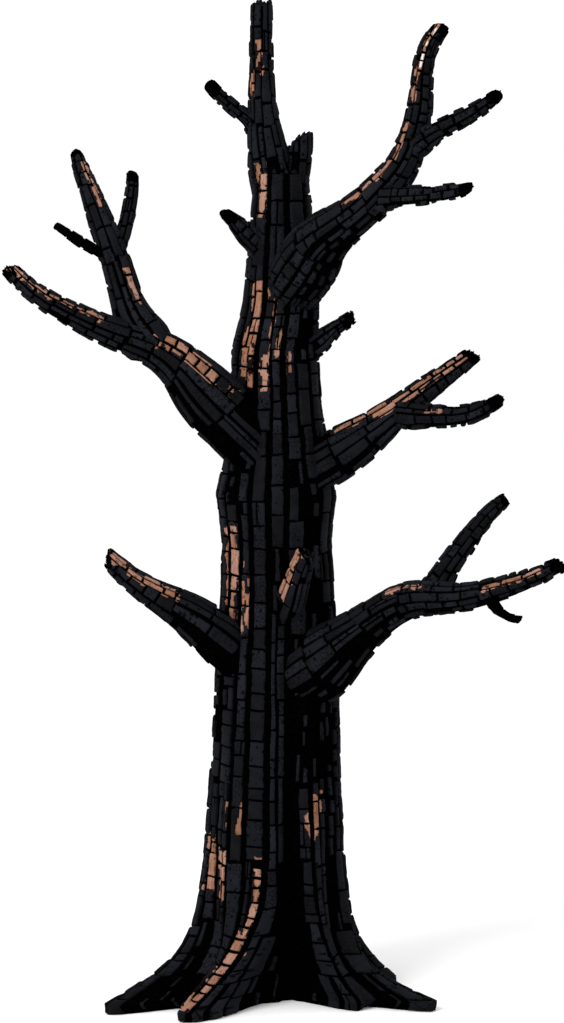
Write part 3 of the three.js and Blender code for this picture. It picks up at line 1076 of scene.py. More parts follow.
@dataclass
class BarkedShape:
    """One surface with its bark: the black floor of the fissures, char blocks and bare wood.

    covers are the surfaces that hide the blocks inside them. Beyond sooty_from, in metres along it, the char
    has burnt to soot.
    """

    shape: Surface
    bark: CharBark
    patches: list[Patch]
    seed: int
    rng: Chance
    covers: list[Surface]
    sooty_from: float = math.inf

    def laid(self, along: Array, around: Array) -> Array:
        """Metres across and along the grain for points of the surface, and a number for the limb.

        Args:
            along: Heights, or distances along the limb.
            around: Sectors or turns round it.

        Returns:
            The three numbers for each point, one point a row.
        """
        numbers = [self.shape.across_grain(along, around), along, np.full_like(along, float(self.seed))]
        return np.stack(numbers, axis=-1).reshape(-1, 3)

    def plates(self, blocks: list[Block], skins: dict[Layer, Skin]) -> None:
        """Builds the blocks as raised plates with worn edges, in char or bare wood.

        Args:
            blocks: Where the blocks are.
            skins: The meshes to add to.
        """
        cells = self.standing(blocks)
        if cells is None:
            return
        bark = self.bark
        grid = bark.grid()
        worn = np.stack([*grid, np.zeros_like(grid[0])], axis=-1) * np.array(bark.worn_stretch)
        worn = worn + cells.number[:, None, None, None] * np.array(bark.worn_stride)
        across, lengthwise = cells.fitted(*grid)
        across = across + bark.worn_sides[0] * noise(worn, bark.worn_sides[1], self.seed)
        lengthwise = lengthwise + bark.worn_ends[0] * noise(worn, bark.worn_ends[1], self.seed + 1)
        along, around = (spread(corners, across, lengthwise) for corners in (cells.along, cells.around))
        spots = self.shape.place(along, around)
        depth = bark.depth(self.shape.column(along))
        scale = np.minimum(1.0, depth / bark.deep)
        bevel = bark.bevel * (1.0 + layered(worn, bark.worn_bevel))
        bevel = bevel * np.exp(-cells.nearest_edge(*grid) / bark.bevel_reach)
        lift = (cells.lean(*grid) - bevel + layered(spots.points, bark.crackle)) * scale
        bottom = spots.points + spots.normals * -(depth + bark.sunk * scale)[..., None]
        tone = np.repeat(cells.tone, grid[0].size)
        laid = self.laid(along, around)
        for layer, mask in self.masks(spots).items():
            drop = bark.bare_drop * scale if layer in (Layer.BARE, Layer.BLEACHED) else 0.0
            top = spots.points + spots.normals * (lift - drop)[..., None]
            faces, tops = grid_faces(mask, lift.size)
            if len(faces):
                points = np.concatenate([top.reshape(-1, 3), bottom.reshape(-1, 3)])
                skins[layer].add(points, faces, tops, np.tile(tone, 2), np.tile(laid, (2, 1)))

    def standing(self, blocks: list[Block]) -> Cells | None:
        """The blocks that still stand and show.

        Args:
            blocks: All the blocks.

        Returns:
            What each has of its own, or None if there are none.
        """
        bark, rng = self.bark, self.rng
        along = np.array([block.along for block in blocks])
        around = np.array([block.around for block in blocks])
        gaps = np.array([block.gaps for block in blocks])
        sparse = np.array([block.sparse for block in blocks])
        gone = self.gone(along, around, sparse)
        along, around, gaps, sparse = (values[~gone] for values in (along, around, gaps, sparse))
        count = len(along)
        if not count:
            return None
        mid_along, mid_around = (corners.mean(axis=(1, 2)) for corners in (along, around))
        sides = [self.shape.point(mid_along, around[:, :, k].mean(axis=1)) for k in (0, 1)]
        ends = [self.shape.point(along[:, k, :].mean(axis=1), mid_around) for k in (0, 1)]
        width, length = (np.linalg.norm(pair[1] - pair[0], axis=-1) for pair in (sides, ends))
        lost = np.where(sparse, 1.0 - rng.uniform(*bark.sliver, count) / width, 0.0)
        leaning = rng.uniform(*bark.sliver_place, count)
        gap_left = np.where(sparse, lost * leaning, np.minimum(gaps[:, 0] / width, bark.widest_gap))
        gap_right = np.where(sparse, lost * (1.0 - leaning), np.minimum(gaps[:, 1] / width, bark.widest_gap))
        shorter = np.where(sparse, rng.uniform(0.0, bark.sliver_shorter, count), 0.0)
        level = rng.uniform(-bark.uneven, bark.proud, count)
        slant = rng.uniform(-bark.slant, bark.slant, (count, 2))
        tone = rng.uniform(0.0, 1.0, count)
        which, piece, pieces = self.cracked(mid_along, sides, ends, length)
        length = length[which] / pieces
        gap_end = np.minimum(0.5 * np.where(pieces > 1, bark.crack, bark.end_gap) / length, bark.widest_end)
        return Cells(
            along=cut(along[which], piece, pieces),
            around=cut(around[which], piece, pieces),
            width=width[which],
            length=length,
            gap_left=gap_left[which],
            gap_right=gap_right[which],
            gap_end=gap_end + shorter[which],
            level=level[which],
            slant=slant[which],
            tone=(tone[which] + bark.piece_tone * piece) % 1.0,
            number=which + bark.piece_number * piece,
        )

    def gone(self, along: Array, around: Array, sparse: Array) -> Array:
        """Which blocks are hidden or gone, and marks in sparse those under a burnt-out patch, partly painted
        shade.

        Args:
            along: The blocks' corners along the surface.
            around: Their corners round it.
            sparse: Where most blocks are gone to slivers, partly as painted shade.

        Returns:
            Yes or no for each block.
        """
        middles = self.shape.place(along.mean(axis=(1, 2)), around.mean(axis=(1, 2)))
        hidden = np.zeros(len(along), bool)
        for cover in self.covers:
            hidden |= cover.holds(middles.points, self.bark.covered_depth)
        for patch in self.patches:
            if patch.layer is Layer.BURNT_OUT:
                sparse |= patch.depth(self.shape, middles) > 0.0
        return hidden | sparse & (self.rng.uniform(0.0, 1.0, len(along)) > self.bark.kept_slivers)

    def cracked(self, along: Array, sides: list[Array], ends: list[Array],
                length: Array) -> tuple[Array, Array, Array]:
        """Which blocks have cracked across under a bare patch.

        Args:
            along: Where the blocks' middles are along the surface.
            sides: The middles of their left and right sides.
            ends: The middles of their lower and upper ends.
            length: Their lengths.

        Returns:
            For each piece its block, its number in that block and how many pieces the block has.
        """
        pieces = np.ones(len(along), int)
        normals = unit(np.cross(sides[1] - sides[0], ends[1] - ends[0]))
        middles = Spots(along, (sides[0] + sides[1]) / 2.0, normals)
        for patch in self.patches:
            if patch.cell:
                inside = patch.depth(self.shape, middles) > -self.bark.bare_under
                finer = np.maximum(pieces, np.round(length / patch.cell))
                pieces = np.where(inside, finer, pieces).astype(int)
        which = np.repeat(np.arange(len(along)), pieces)
        first = np.cumsum(pieces) - pieces
        return which, np.arange(len(which)) - first[which], pieces[which]

    def deepest(self, layer: Layer, spots: Spots) -> Array:
        """How deep each cell of the plates lies in the patches of a layer.

        Args:
            layer: The layer.
            spots: The plates' points.

        Returns:
            Metres for each cell, -1 where the layer has no patch.
        """
        depth = np.full(spots.along.shape, -1.0)
        for patch in self.patches:
            if patch.layer is layer:
                depth = np.maximum(depth, patch.depth(self.shape, spots))
        return cell_means(depth)

    def masks(self, spots: Spots) -> dict[Layer, Array]:
        """Which cells of the plates are char, soot and wood. Bare wood runs a little way in under the char.

        Args:
            spots: The plates' points.

        Returns:
            Yes or no for each cell, by layer.
        """
        bare, bleached = (self.deepest(layer, spots) for layer in (Layer.BARE, Layer.BLEACHED))
        charred = (bare < 0.0) & (bleached < 0.0)
        sooty = cell_means(spots.along + layered(spots.points, self.bark.soot_edge)) > self.sooty_from
        reached = bare.max(axis=(1, 2), keepdims=True) > 0.0
        return {
            Layer.CHAR: charred & ~sooty,
            Layer.BURNT_OUT: charred & sooty,
            Layer.BARE: (bare > -self.bark.bare_under) & (bleached < 0.0) & reached,
            Layer.BLEACHED: bleached >= 0.0,
        }

    def floor(self, skin: Skin, levels: Array, rounds: Array, closed_turn: float) -> None:
        """Builds the closed core that shows in the fissures, whose near-black finish is soot and painted
        shade.

        Args:
            skin: The mesh to add to.
            levels: Where its rings are, along the surface.
            rounds: Where its points are round each ring.
            closed_turn: The length of one whole round.
        """
        along, around = np.meshgrid(levels, rounds * closed_turn, indexing="ij")
        spots = self.shape.place(along, around)
        lowered = -self.bark.depth(self.shape.column(along)) + layered(spots.points, self.bark.floor_lumps)
        points = spots.points + spots.normals * lowered[..., None]
        rings, count = along.shape
        ids = np.arange(rings * count).reshape(rings, count)
        right = np.roll(ids, -1, axis=1)
        walls = np.stack([ids[:-1], right[:-1], right[1:], ids[1:]], axis=-1).reshape(-1, 4)
        start, end = (np.full(count, number) for number in (rings * count, rings * count + 1))
        first = np.stack([right[0], ids[0], start, start], axis=-1)
        last = np.stack([ids[-1], right[-1], end, end], axis=-1)
        middles = np.stack([points[0].mean(axis=0), points[-1].mean(axis=0)])
        everything = np.concatenate([points.reshape(-1, 3), middles])
        faces = np.concatenate([walls, first, last])
        laid = np.concatenate([self.laid(along, around), middles])
        skin.add(everything, faces, np.full(len(faces), True), np.full(len(everything), 0.5), laid)


@dataclass(frozen=True)
class Splinters:
    """Torn, pointed splinters of wood on a broken end.

    rings gives the height of each ring of corners as a share of the splinter's, and how full it is there.
    The point follows the last ring.
    """

    widths: Pair
    tallest: float
    corners: int = 5
    rings: tuple[Pair, ...] = ((-0.35, 1.0), (0.3, 0.86), (0.75, 0.5))
    shortest_share: float = 0.25
    mostly_short: float = 1.6
    irregular: float = 0.2
    hollow: float = 0.62
    lean: float = 0.2
    across: ClassVar[Triple] = (0.31, 0.87, 0.38)

    def faces(self) -> Array:
        """One splinter's faces.

        Returns:
            Four corner numbers for each; the point and the foot are the last two corners.
        """
        following = [(k, (k + 1) % self.corners) for k in range(self.corners)]
        faces = []
        for low in range(0, (len(self.rings) - 1) * self.corners, self.corners):
            high = low + self.corners
            faces += [(low + k, low + after, high + after, high + k) for k, after in following]
        top = (len(self.rings) - 1) * self.corners
        point, foot = top + self.corners, top + self.corners + 1
        for k, after in following:
            faces += [(top + k, top + after, point, point), (after, k, foot, foot)]
        return np.array(faces)

    def build(self, skin: Skin, rng: Chance, feet: Array, heading: Array) -> None:
        """Adds the splinters to a mesh.

        Args:
            skin: The mesh.
            rng: The seeded chance.
            feet: Where they stand.
            heading: The direction in which they point.
        """
        side = unit(np.cross(heading, np.array(self.across)))
        other = np.cross(heading, side)
        faces = self.faces()
        for foot in feet:
            width = rng.uniform(*self.widths)
            height = self.tallest * rng.uniform(self.shortest_share, 1.0) ** self.mostly_short
            turn = rng.uniform(0.0, FULL_TURN)
            points = []
            for level, share in self.rings:
                for k in range(self.corners):
                    place = k + rng.uniform(-self.irregular, self.irregular)
                    angle = turn + FULL_TURN * place / float(self.corners)
                    reach = 0.5 * width * share * (1.0 if k % 2 else self.hollow)
                    outward = side * math.cos(angle) + other * math.sin(angle)
                    points.append(foot + outward * reach + heading * height * level)
            lean = (side * rng.uniform(-1, 1) + other * rng.uniform(-1, 1)) * self.lean * width
            points += [foot + heading * height + lean, foot + heading * height * self.rings[0][0]]
            corners = np.array(points)
            tones = np.full(len(corners), rng.uniform(0.0, 1.0))
            laid = np.stack([corners @ side, corners @ heading, corners @ other], axis=-1)
            skin.add(corners, faces, np.full(len(faces), False), tones, laid)


# Finishes


def linear(code: str) -> tuple[float, float, float, float]:
    """A colour for a shader.

    Args:
        code: An sRGB colour as six hex digits.

    Returns:
        Linear red, green and blue, and a full alpha.
    """
    channels = [int(code[k:k + 2], 16) / 255.0 for k in (0, 2, 4)]
    flat = [c / 12.92 if c <= 0.04045 else ((c + 0.055) / 1.055) ** 2.4 for c in channels]
    return flat[0], flat[1], flat[2], 1.0


Links = dict[str | int, NodeSocket | Node]


def join(node: Node, links: Links) -> None:
    """Links a node's inputs.

    Args:
        node: The node.
        links: The output for each input, by the input's name or number. A node stands for its first output.
    """
    for name, source in links.items():
        output = source.outputs[0] if isinstance(source, Node) else source
        node.id_data.links.new(output, node.inputs[name])


def add_node(tree: NodeTree, kind: str, settings: dict[str | int, object] | None = None,
             links: Links | None = None) -> Node:
    """Adds a shader node with its settings and links.

    Args:
        tree: The material's node tree.
        kind: The node's type, without the words ShaderNode before it.
        settings: The node's attributes, or values of its inputs by name or number. "stops" gives a colour
            ramp's places from 0 to 1, each with its sRGB hex colour.
        links: What to link to its inputs.

    Returns:
        The new node.
    """
    node = tree.nodes.new("ShaderNode" + kind)
    for name, value in (settings or {}).items():
        if name == "stops":
            elements = node.color_ramp.elements
            while len(elements) < len(value):
                elements.new(0.5)
            for element, (place, code) in zip(elements, value):
                element.position = place
                element.color = linear(code)
        elif isinstance(name, str) and hasattr(node, name):
            setattr(node, name, value)
        else:
            node.inputs[name].default_value = value
    join(node, links or {})
    return node


def blank_material(name: str) -> tuple[Material, NodeTree, Node]:
    """A new material with only its shader and output.

    Args:
        name: The material's name.

    Returns:
        The material, its node tree and its shader.
    """
    material = bpy.data.materials.new(name)
    material.use_nodes = True
    tree = material.node_tree
    tree.nodes.clear()
    shader = add_node(tree, "BsdfPrincipled")
    add_node(tree, "OutputMaterial", None, {"Surface": shader})
    return material, tree, shader


def grain_inputs(tree: NodeTree) -> tuple[NodeSocket, ...]:
    """Adds the nodes that tell one point of a mesh from another.

    Args:
        tree: The material's node tree.

    Returns:
        Its place, where it is laid along the grain, and its block's tone.
    """
    place = add_node(tree, "TexCoord").outputs["Object"]
    laid = add_node(tree, "Attribute", {"attribute_name": "laid"}).outputs["Vector"]
    tone = add_node(tree, "Attribute", {"attribute_name": "tone"}).outputs["Fac"]
    return place, laid, tone


@dataclass(frozen=True)
class Gloss:
    """How a finish gives back light: its roughness, IOR and specular level."""

    roughness: float
    ior: float
    specular: float

    def apply(self, shader: Node) -> None:
        """Sets the shader's own sockets.

        Args:
            shader: The material's shader.
        """
        shader.inputs["Roughness"].default_value = self.roughness
        shader.inputs["IOR"].default_value = self.ior
        shader.inputs["Specular IOR Level"].default_value = self.specular


@dataclass(frozen=True)
class WoodChar:
    """Wood charcoal, burnt in place: nearly black and faintly blue, matt, crazed and pitted in squares."""

    darkest: str = "09090b"
    middle: str = "101115"
    lightest: str = "17181e"
    crack: str = "020202"
    tone_share: float = 0.45
    patch_size: float = 0.12
    cell: float = 0.034
    crazed_area: float = 0.21
    pit_spacing: float = 0.052
    pit_choice: float = 0.30
    pit_gathering: float = 0.24
    grain: float = 0.007
    gloss: Gloss = Gloss(0.75, 1.32, 0.07)

    def material(self) -> Material:
        """Makes the finish of the char blocks' faces.

        Returns:
            The material.
        """
        # Charcoal is a matt black that still shows its blocks: each one a little lighter or darker than the
        # next, with hairline crazing across the grain and square pits where corners have fallen out.
        material, tree, shader = blank_material("wood_charcoal_crazed")
        place, laid, tone = grain_inputs(tree)
        broad = add_node(tree, "TexNoise", {"Scale": 1 / self.patch_size, "Detail": 4.0}, {"Vector": place})
        faded = add_node(tree, "Math", {"operation": "MULTIPLY", 1: 1.0 - self.tone_share}, {0: broad})
        shade = add_node(tree, "Math", {"operation": "MULTIPLY_ADD", 1: self.tone_share}, {0: tone, 2: faded})
        stops = ((0.22, self.darkest), (0.5, self.middle), (0.8, self.lightest))
        face = add_node(tree, "ValToRGB", {"stops": stops}, {"Fac": shade})
        cracks = {"voronoi_dimensions": "2D", "feature": "DISTANCE_TO_EDGE", "Scale": 1 / self.cell}
        crazing = add_node(tree, "TexVoronoi", cracks, {"Vector": laid})
        lines = add_node(tree, "ValToRGB", {"stops": ((0.02, "000000"), (0.08, "ffffff"))}, {"Fac": crazing})
        area = add_node(tree, "TexNoise", {"Scale": 1 / self.crazed_area, "Detail": 1.0}, {"Vector": place})
        uncrazed = add_node(tree, "ValToRGB", {"stops": ((0.48, "ffffff"), (0.56, "000000"))}, {"Fac": area})
        uncracked = add_node(tree, "Math", {"operation": "MAXIMUM"}, {0: lines, 1: uncrazed})
        pits = {"voronoi_dimensions": "2D", "distance": "CHEBYCHEV", "Scale": 1 / self.pit_spacing}
        squares = add_node(tree, "TexVoronoi", pits, {"Vector": laid})
        chance = add_node(tree, "SeparateColor", None, {0: squares.outputs["Color"]})
        reach = add_node(tree, "Math", {"operation": "MULTIPLY_ADD", 1: self.pit_choice},
                         {0: chance, 2: squares})
        on_some = add_node(tree, "Math", {"operation": "MULTIPLY_ADD", 1: -self.pit_gathering},
                           {0: tone, 2: reach})
        unpitted = add_node(tree, "ValToRGB", {"stops": ((0.07, "000000"), (0.10, "ffffff"))},
                            {"Fac": on_some})
        whole = add_node(tree, "Math", {"operation": "MINIMUM"}, {0: uncracked, 1: unpitted})
        colour = add_node(tree, "Mix", {"data_type": "RGBA", 6: linear(self.crack)}, {0: whole, 7: face})
        join(shader, {"Base Color": colour.outputs[2]})
        fine = add_node(tree, "TexNoise", {"Scale": 1 / self.grain, "Detail": 3.0}, {"Vector": place})
        sunk = add_node(tree, "Bump", {"Strength": 0.7, "Distance": 0.004}, {"Height": whole})
        rough = add_node(tree, "Bump", {"Strength": 0.5, "Distance": 0.002}, {"Height": fine, "Normal": sunk})
        join(shader, {"Normal": rough})
        self.gloss.apply(shader)
        return material


@dataclass(frozen=True)
class SootAndShade:
    """Loose soot in the fissures, painted near black so that it also stands in for their shade."""

    dark: str = "000000"
    grey: str = "030303"
    speck: float = 0.02
    gloss: Gloss = Gloss(1.0, 1.2, 0.0)

    def material(self) -> Material:
        """Makes the finish of the fissures' floor.

        Returns:
            The material.
        """
        # Soot gives back almost no light, and this floor is painted near black so that it also stands in for
        # the
        # shade deep in the fissures: they read as plain black lines with no floor to see.
        material, tree, shader = blank_material("soot_and_painted_shade")
        place = add_node(tree, "TexCoord").outputs["Object"]
        dust = add_node(tree, "TexNoise", {"Scale": 1 / self.speck, "Detail": 3.0}, {"Vector": place})
        black = add_node(tree, "ValToRGB", {"stops": ((0.35, self.dark), (0.75, self.grey))}, {"Fac": dust})
        join(shader, {"Base Color": black})
        bump = add_node(tree, "Bump", {"Strength": 0.5, "Distance": 0.004}, {"Height": dust})
        join(shader, {"Normal": bump})
        self.gloss.apply(shader)
        return material


@dataclass(frozen=True)
class DeadWood:
    """Dead heartwood laid bare where char fell off, dry and weathered."""

    name: str = "heartwood_scorched"
    dark: str = "694732"
    middle: str = "7f5845"
    light: str = "927062"
    scorch: str = "120e0d"
    streak: float = 0.012
    drawn_out: float = 0.16
    tone_share: float = 0.30
    smudge: float = 0.045
    scorched: float = 0.60
    smudge_edge: float = 0.03
    gloss: Gloss = Gloss(0.8, 1.3, 0.2)

    def material(self) -> Material:
        """Makes the finish of the bare wood.

        Returns:
            The material.
        """
        # Dry heartwood is a dull brown, streaked light and dark along the grain, and smudged with char.
        # The streaks are drawn about 12 mm wide, coarser than real grain, so that they show at this distance.
        material, tree, shader = blank_material(self.name)
        place, laid, tone = grain_inputs(tree)
        drawn = add_node(tree, "Mapping", {"Scale": (1.0, self.drawn_out, 1.0)}, {"Vector": laid})
        grain = add_node(tree, "TexNoise", {"Scale": 1 / self.streak, "Detail": 5.0, "Distortion": 0.4},
                         {"Vector": drawn})
        shade = add_node(tree, "Math", {"operation": "MULTIPLY_ADD", 1: self.tone_share}, {0: tone, 2: grain})
        stops = ((0.38, self.dark), (0.62, self.middle), (0.88, self.light))
        wood = add_node(tree, "ValToRGB", {"stops": stops}, {"Fac": shade})
        soiled = add_node(tree, "TexNoise", {"Scale": 1 / self.smudge, "Detail": 6.0, "Roughness": 0.7},
                          {"Vector": place})
        edges = ((self.scorched - self.smudge_edge, "ffffff"), (self.scorched + self.smudge_edge, "000000"))
        clean = add_node(tree, "ValToRGB", {"stops": edges}, {"Fac": soiled})
        colour = add_node(tree, "Mix", {"data_type": "RGBA", 6: linear(self.scorch)}, {0: clean, 7: wood})
        join(shader, {"Base Color": colour.outputs[2]})
        bump = add_node(tree, "Bump", {"Strength": 0.6, "Distance": 0.003}, {"Height": grain})
        join(shader, {"Normal": bump})
        self.gloss.apply(shader)
        return material


@dataclass(frozen=True)
class StudioFloor:
    """A floor painted matt white, so that the tree stands on a plain pale ground."""

    paint: str = "f4f4f4"

    def material(self) -> Material:
        """Makes the floor's finish.

        Returns:
            The material.
        """
        # Matt white paint shows no reflection, only the soft shade at the tree's foot.
        material, _, shader = blank_material("floor_paint_matt")
        shader.inputs["Base Color"].default_value = linear(self.paint)
        shader.inputs["Roughness"].default_value = 1.0
        shader.inputs["Specular IOR Level"].default_value = 0.0
        return material


@dataclass
class Finishes:
    """The tree's finishes, each made once."""

    char: Material = field(default_factory=lambda: WoodChar().material())
    # The fissures' soot, painted near black so that it also stands in for their shade.
    soot: Material = field(default_factory=lambda: SootAndShade().material())
    bare: Material = field(default_factory=lambda: DeadWood().material())
    bleached: Material = field(default_factory=lambda: DeadWood(
        name="heartwood_bleached", dark="a39284", middle="c4b6a9", light="dcd3c9", scorched=0.7).material())


# Sub-assemblies


@dataclass
class Assembly:
    """A part of the tree whose pieces stand for some of its solids."""

    name: str
    patches: list[Patch]
    skins: dict[Layer, Skin] = field(default_factory=lambda: {layer: Skin() for layer in Layer})
    fissures: Skin = field(default_factory=Skin)

    def dress(self, finishes: Finishes, nodes: tuple[str, ...], label: str = "") -> int:
        """Makes the gathered meshes into pieces with their finishes, and ties them to the frame.

        Args:
            finishes: The tree's finishes.
            nodes: The solids that the pieces stand for.
            label: Words to add to the pieces' names.

        Returns:
            How many triangles the pieces have.
        """
        made = {
            # The fissures' floor is soot and painted shade in one near-black finish.
            "fissures": (self.fissures, finishes.soot, Slot.CHAR),
            "char": (self.skins[Layer.CHAR], finishes.char, Slot.CHAR),
            "bare_wood": (self.skins[Layer.BARE], finishes.bare, Slot.BARE),
            "bleached_wood": (self.skins[Layer.BLEACHED], finishes.bleached, Slot.BARE),
        }
        triangles = 0
        for kind, (skin, material, slot) in made.items():
            piece = skin.piece(f"{self.name}{label}_{kind}")
            if piece is None:
                continue
            piece.data.materials.append(material)
            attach(piece, BODY)
            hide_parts(*nodes)
            faces = sum(len(p.vertices) - 2 for p in piece.data.polygons)
            triangles += faces
            log.info("%s: %d triangles", piece.name, faces)
        self.skins = {layer: Skin() for layer in Layer}
        self.fissures = Skin()
        return triangles


@dataclass
class Trunk(Assembly):
    """The trunk with its root flare."""

    shape: TrunkShape = field(default_factory=TrunkShape)
    bark: CharBark = field(default_factory=CharBark)
    storeys: tuple[float, ...] = (0.0, 0.26, 0.62, 1.15, 1.8, 2.5, 3.2, 3.9, 4.6, 5.3, 5.95, 6.65)
    parts: tuple[tuple[str, float], ...] = (
        ("_roots", 1.15),
        ("_lower", 3.2),
        ("_middle", 5.3),
        ("_upper", 6.65),
    )
    # Painted shade: near the ground the blocks nearest each valley between the roots thin to slivers, and
    # those in the deep front furrow are left out, so that the black core shows there as shade.
    valley_shade: float = 0.50
    furrow_shade: float = 6.0
    furrow_foot: float = 1.2
    furrow_narrows: Pair = (0.2, 1.3)
    furrow_to: float = 3.1
    jog: float = 0.05
    column_width: float = 0.118
    wander: float = 0.035
    root_widening: float = 0.35
    ridges_to: float = 4.6
    even_below: float = 0.5
    flare: Pair = (0.25, 1.0)
    valley_from: float = 0.05
    path_points: int = 24
    tilt: float = 0.006
    tilt_below: float = 0.002
    aside: float = 0.24
    side_sway: float = 0.03
    full_flank: float = 0.12
    own_sway: float = 0.3
    shift_phase: Pair = (2.7, 9.0)
    line_phase: Pair = (3.1, 5.0)
    step_phase: Pair = (5.1, 3.0)
    sector_points: int = 26
    floor_levels: tuple[int, ...] = (20, 24, 70)
    seed: int = 11
    number: int = 20
    crown_count: int = 40
    crown_reach: float = 0.94
    rooted: float = 0.01
    crown_splinters: Splinters = Splinters((0.04, 0.085), 0.13)

    def columns(self, rng: Chance, low: float, high: float) -> list[Block]:
        """Lays out the blocks of one storey, along the roots' ridges.

        Args:
            rng: The seeded chance.
            low: The storey's lower height.
            high: Its upper height.

        Returns:
            The blocks.
        """
        blocks: list[Block] = []
        shape, bark = self.shape, self.bark
        middle = (low + high) / 2.0
        near_ground = 1.0 - float(smooth(np.array(middle), *self.flare))
        width = self.column_width * (1.0 + self.root_widening * near_ground)
        for sector in range(len(shape.roots)):
            flanks = [float(np.interp(middle, shape.levels, line)) for line in shape.half_lengths[sector]]
            sides = self.fissures_across(rng, sector, flanks, width, low)
            for left, right in zip(sides[:-1], sides[1:]):
                line_around = (left.around + right.around) / 2.0
                heights = np.linspace(low, high, self.path_points)
                line = shape.point(heights, np.full_like(heights, line_around))
                travelled = np.concatenate([[0.0], np.cumsum(np.linalg.norm(np.diff(line, axis=0), axis=-1))])
                cuts = bark.split(rng, 0.0, travelled[-1], rng.uniform(bark.shortest, bark.longest))
                ends = np.interp(cuts, travelled, heights)
                if low > 0.0:
                    ends[0] += self.step(low, left.around)
                if high < shape.end:
                    ends[-1] += self.step(high, left.around)
                # In the valleys near the ground the blocks thin to slivers, so the black core shows as
                # painted shade.
                off_crest = abs(2.0 * (line_around - sector) - 1.0)
                valley = off_crest > 1.0 - self.valley_shade * near_ground
                tilt = self.tilt if low > self.even_below else self.tilt_below
                bark.stack(blocks, rng, (left, right), ends, tilt, valley and near_ground > self.valley_from)
        return self.without_furrow(blocks)

    def fissures_across(self, rng: Chance, sector: int, flanks: list[float], width: float,
                        low: float) -> list[Side]:
        """The fissures across one root's sector: a main one in each valley and, lower down, on the ridge.

        Args:
            rng: The seeded chance.
            sector: The root's number.
            flanks: The lengths of the contour from valley to ridge and from ridge to valley.
            width: The width of a column of blocks.
            low: The storey's lower height.

        Returns:
            The fissures from one valley to the next, one more than the columns.
        """
        stretches = flanks if low < self.ridges_to else [sum(flanks)]
        places = np.array([0.0, flanks[0], sum(flanks)])
        turns = (0.0, 0.5, 1.0)
        sides = []
        done = 0.0
        for stretch in stretches:
            count = max(1, round(stretch / width))
            step = stretch / count
            sides.append(self.main_fissure(sector + np.interp(done, places, turns), stretch, low))
            for k in range(1, count):
                crossed = done + step * (k + rng.uniform(-self.aside, self.aside))
                gap = 0.5 * self.bark.column_gap * step * rng.uniform(*self.bark.unequal)
                around = sector + np.interp(crossed, places, turns)
                sides.append(Side(around, rng.uniform(0.0, FULL_TURN), self.side_sway / count, gap))
            done += stretch
        sides.append(self.main_fissure(sector + 1.0, stretches[-1], low))
        return sides

    def main_fissure(self, around: float, flank: float, low: float) -> Side:
        """A main fissure, which starts each storey a little to one side.

        Args:
            around: The ridge or valley that it follows.
            flank: The length of the contour beside it.
            low: The storey's lower height.

        Returns:
            The fissure.
        """
        gap = 0.5 * self.bark.main_gap * min(1.0, flank / self.full_flank)
        turns = round(2.0 * around) % (2 * len(self.shape.roots))
        shift = self.wander * math.sin(phase(self.shift_phase, turns, low)) if low > self.even_below else 0.0
        return Side(around + shift, phase(self.line_phase, turns, low), self.own_sway * self.wander, gap)

    def step(self, height: float, around: float) -> float:
        """How far a storey's edge steps up or down between columns."""
        stepping = self.jog if height > self.even_below else 0.0
        return stepping * math.sin(phase(self.step_phase, around, height))

    def without_furrow(self, blocks: list[Block]) -> list[Block]:
        """Leaves out the blocks in the deep front furrow, so its black core shows there as painted shade.

        Args:
            blocks: One storey's blocks.

        Returns:
            Those that stay.
        """
        kept = []
        for block in blocks:
            height = np.array(np.mean(block.along))
            bearing = self.shape.bearing(height, np.array(np.mean(block.around)))
            off = abs(float(self.shape.between(bearing, self.shape.furrow_bearing)))
            wider = self.furrow_foot * (1.0 - float(smooth(height, *self.furrow_narrows)))
            if height >= self.furrow_to or off >= self.furrow_shade * (1.0 + wider):
                kept.append(block)
        return kept

    def build(self, finishes: Finishes, limbs: list[Limb]) -> int:
        """Builds the trunk in a few lengths.

        Args:
            finishes: The tree's finishes.
            limbs: The limbs that leave the trunk.

        Returns:
            How many triangles it has.
        """
        rng = np.random.default_rng(self.seed)
        covers: list[Surface] = [limb for limb in limbs if limb.parent == "trunk"]
        barked = BarkedShape(self.shape, self.bark, self.patches, self.number, rng, covers)
        triangles = 0
        done = 0.0
        for label, top in self.parts:
            for low, high in zip(self.storeys[:-1], self.storeys[1:]):
                if done <= low < top:
                    barked.plates(self.columns(rng, low, high), self.skins)
            if label == self.parts[0][0]:
                sectors = len(self.shape.roots)
                rounds = np.arange(sectors * self.sector_points) / (sectors * self.sector_points)
                levels = stepped(self.shape.bands, self.floor_levels)
                barked.floor(self.fissures, levels, rounds, float(sectors))
            if label == self.parts[-1][0]:
                self.crown(rng)
            done = top
            triangles += self.dress(finishes, ("trunk",), label)
        return triangles

    def crown(self, rng: Chance) -> None:
        """Torn splinters round the trunk's broken top, between its two stems.

        Args:
            rng: The seeded chance.
        """
        number = np.arange(self.crown_count)
        turns = number * GOLDEN_ANGLE
        reach = self.shape.column(np.array(self.shape.end)) * np.sqrt((number + 0.5) / self.crown_count)
        reach = reach * self.crown_reach
        sunk = np.full(len(turns), -self.rooted)
        away = np.stack([np.cos(turns) * reach, np.sin(turns) * reach, sunk], axis=-1)
        feet = self.shape.axis(np.full(len(turns), self.shape.end)) + away
        self.crown_splinters.build(self.skins[Layer.CHAR], rng, feet, UP)


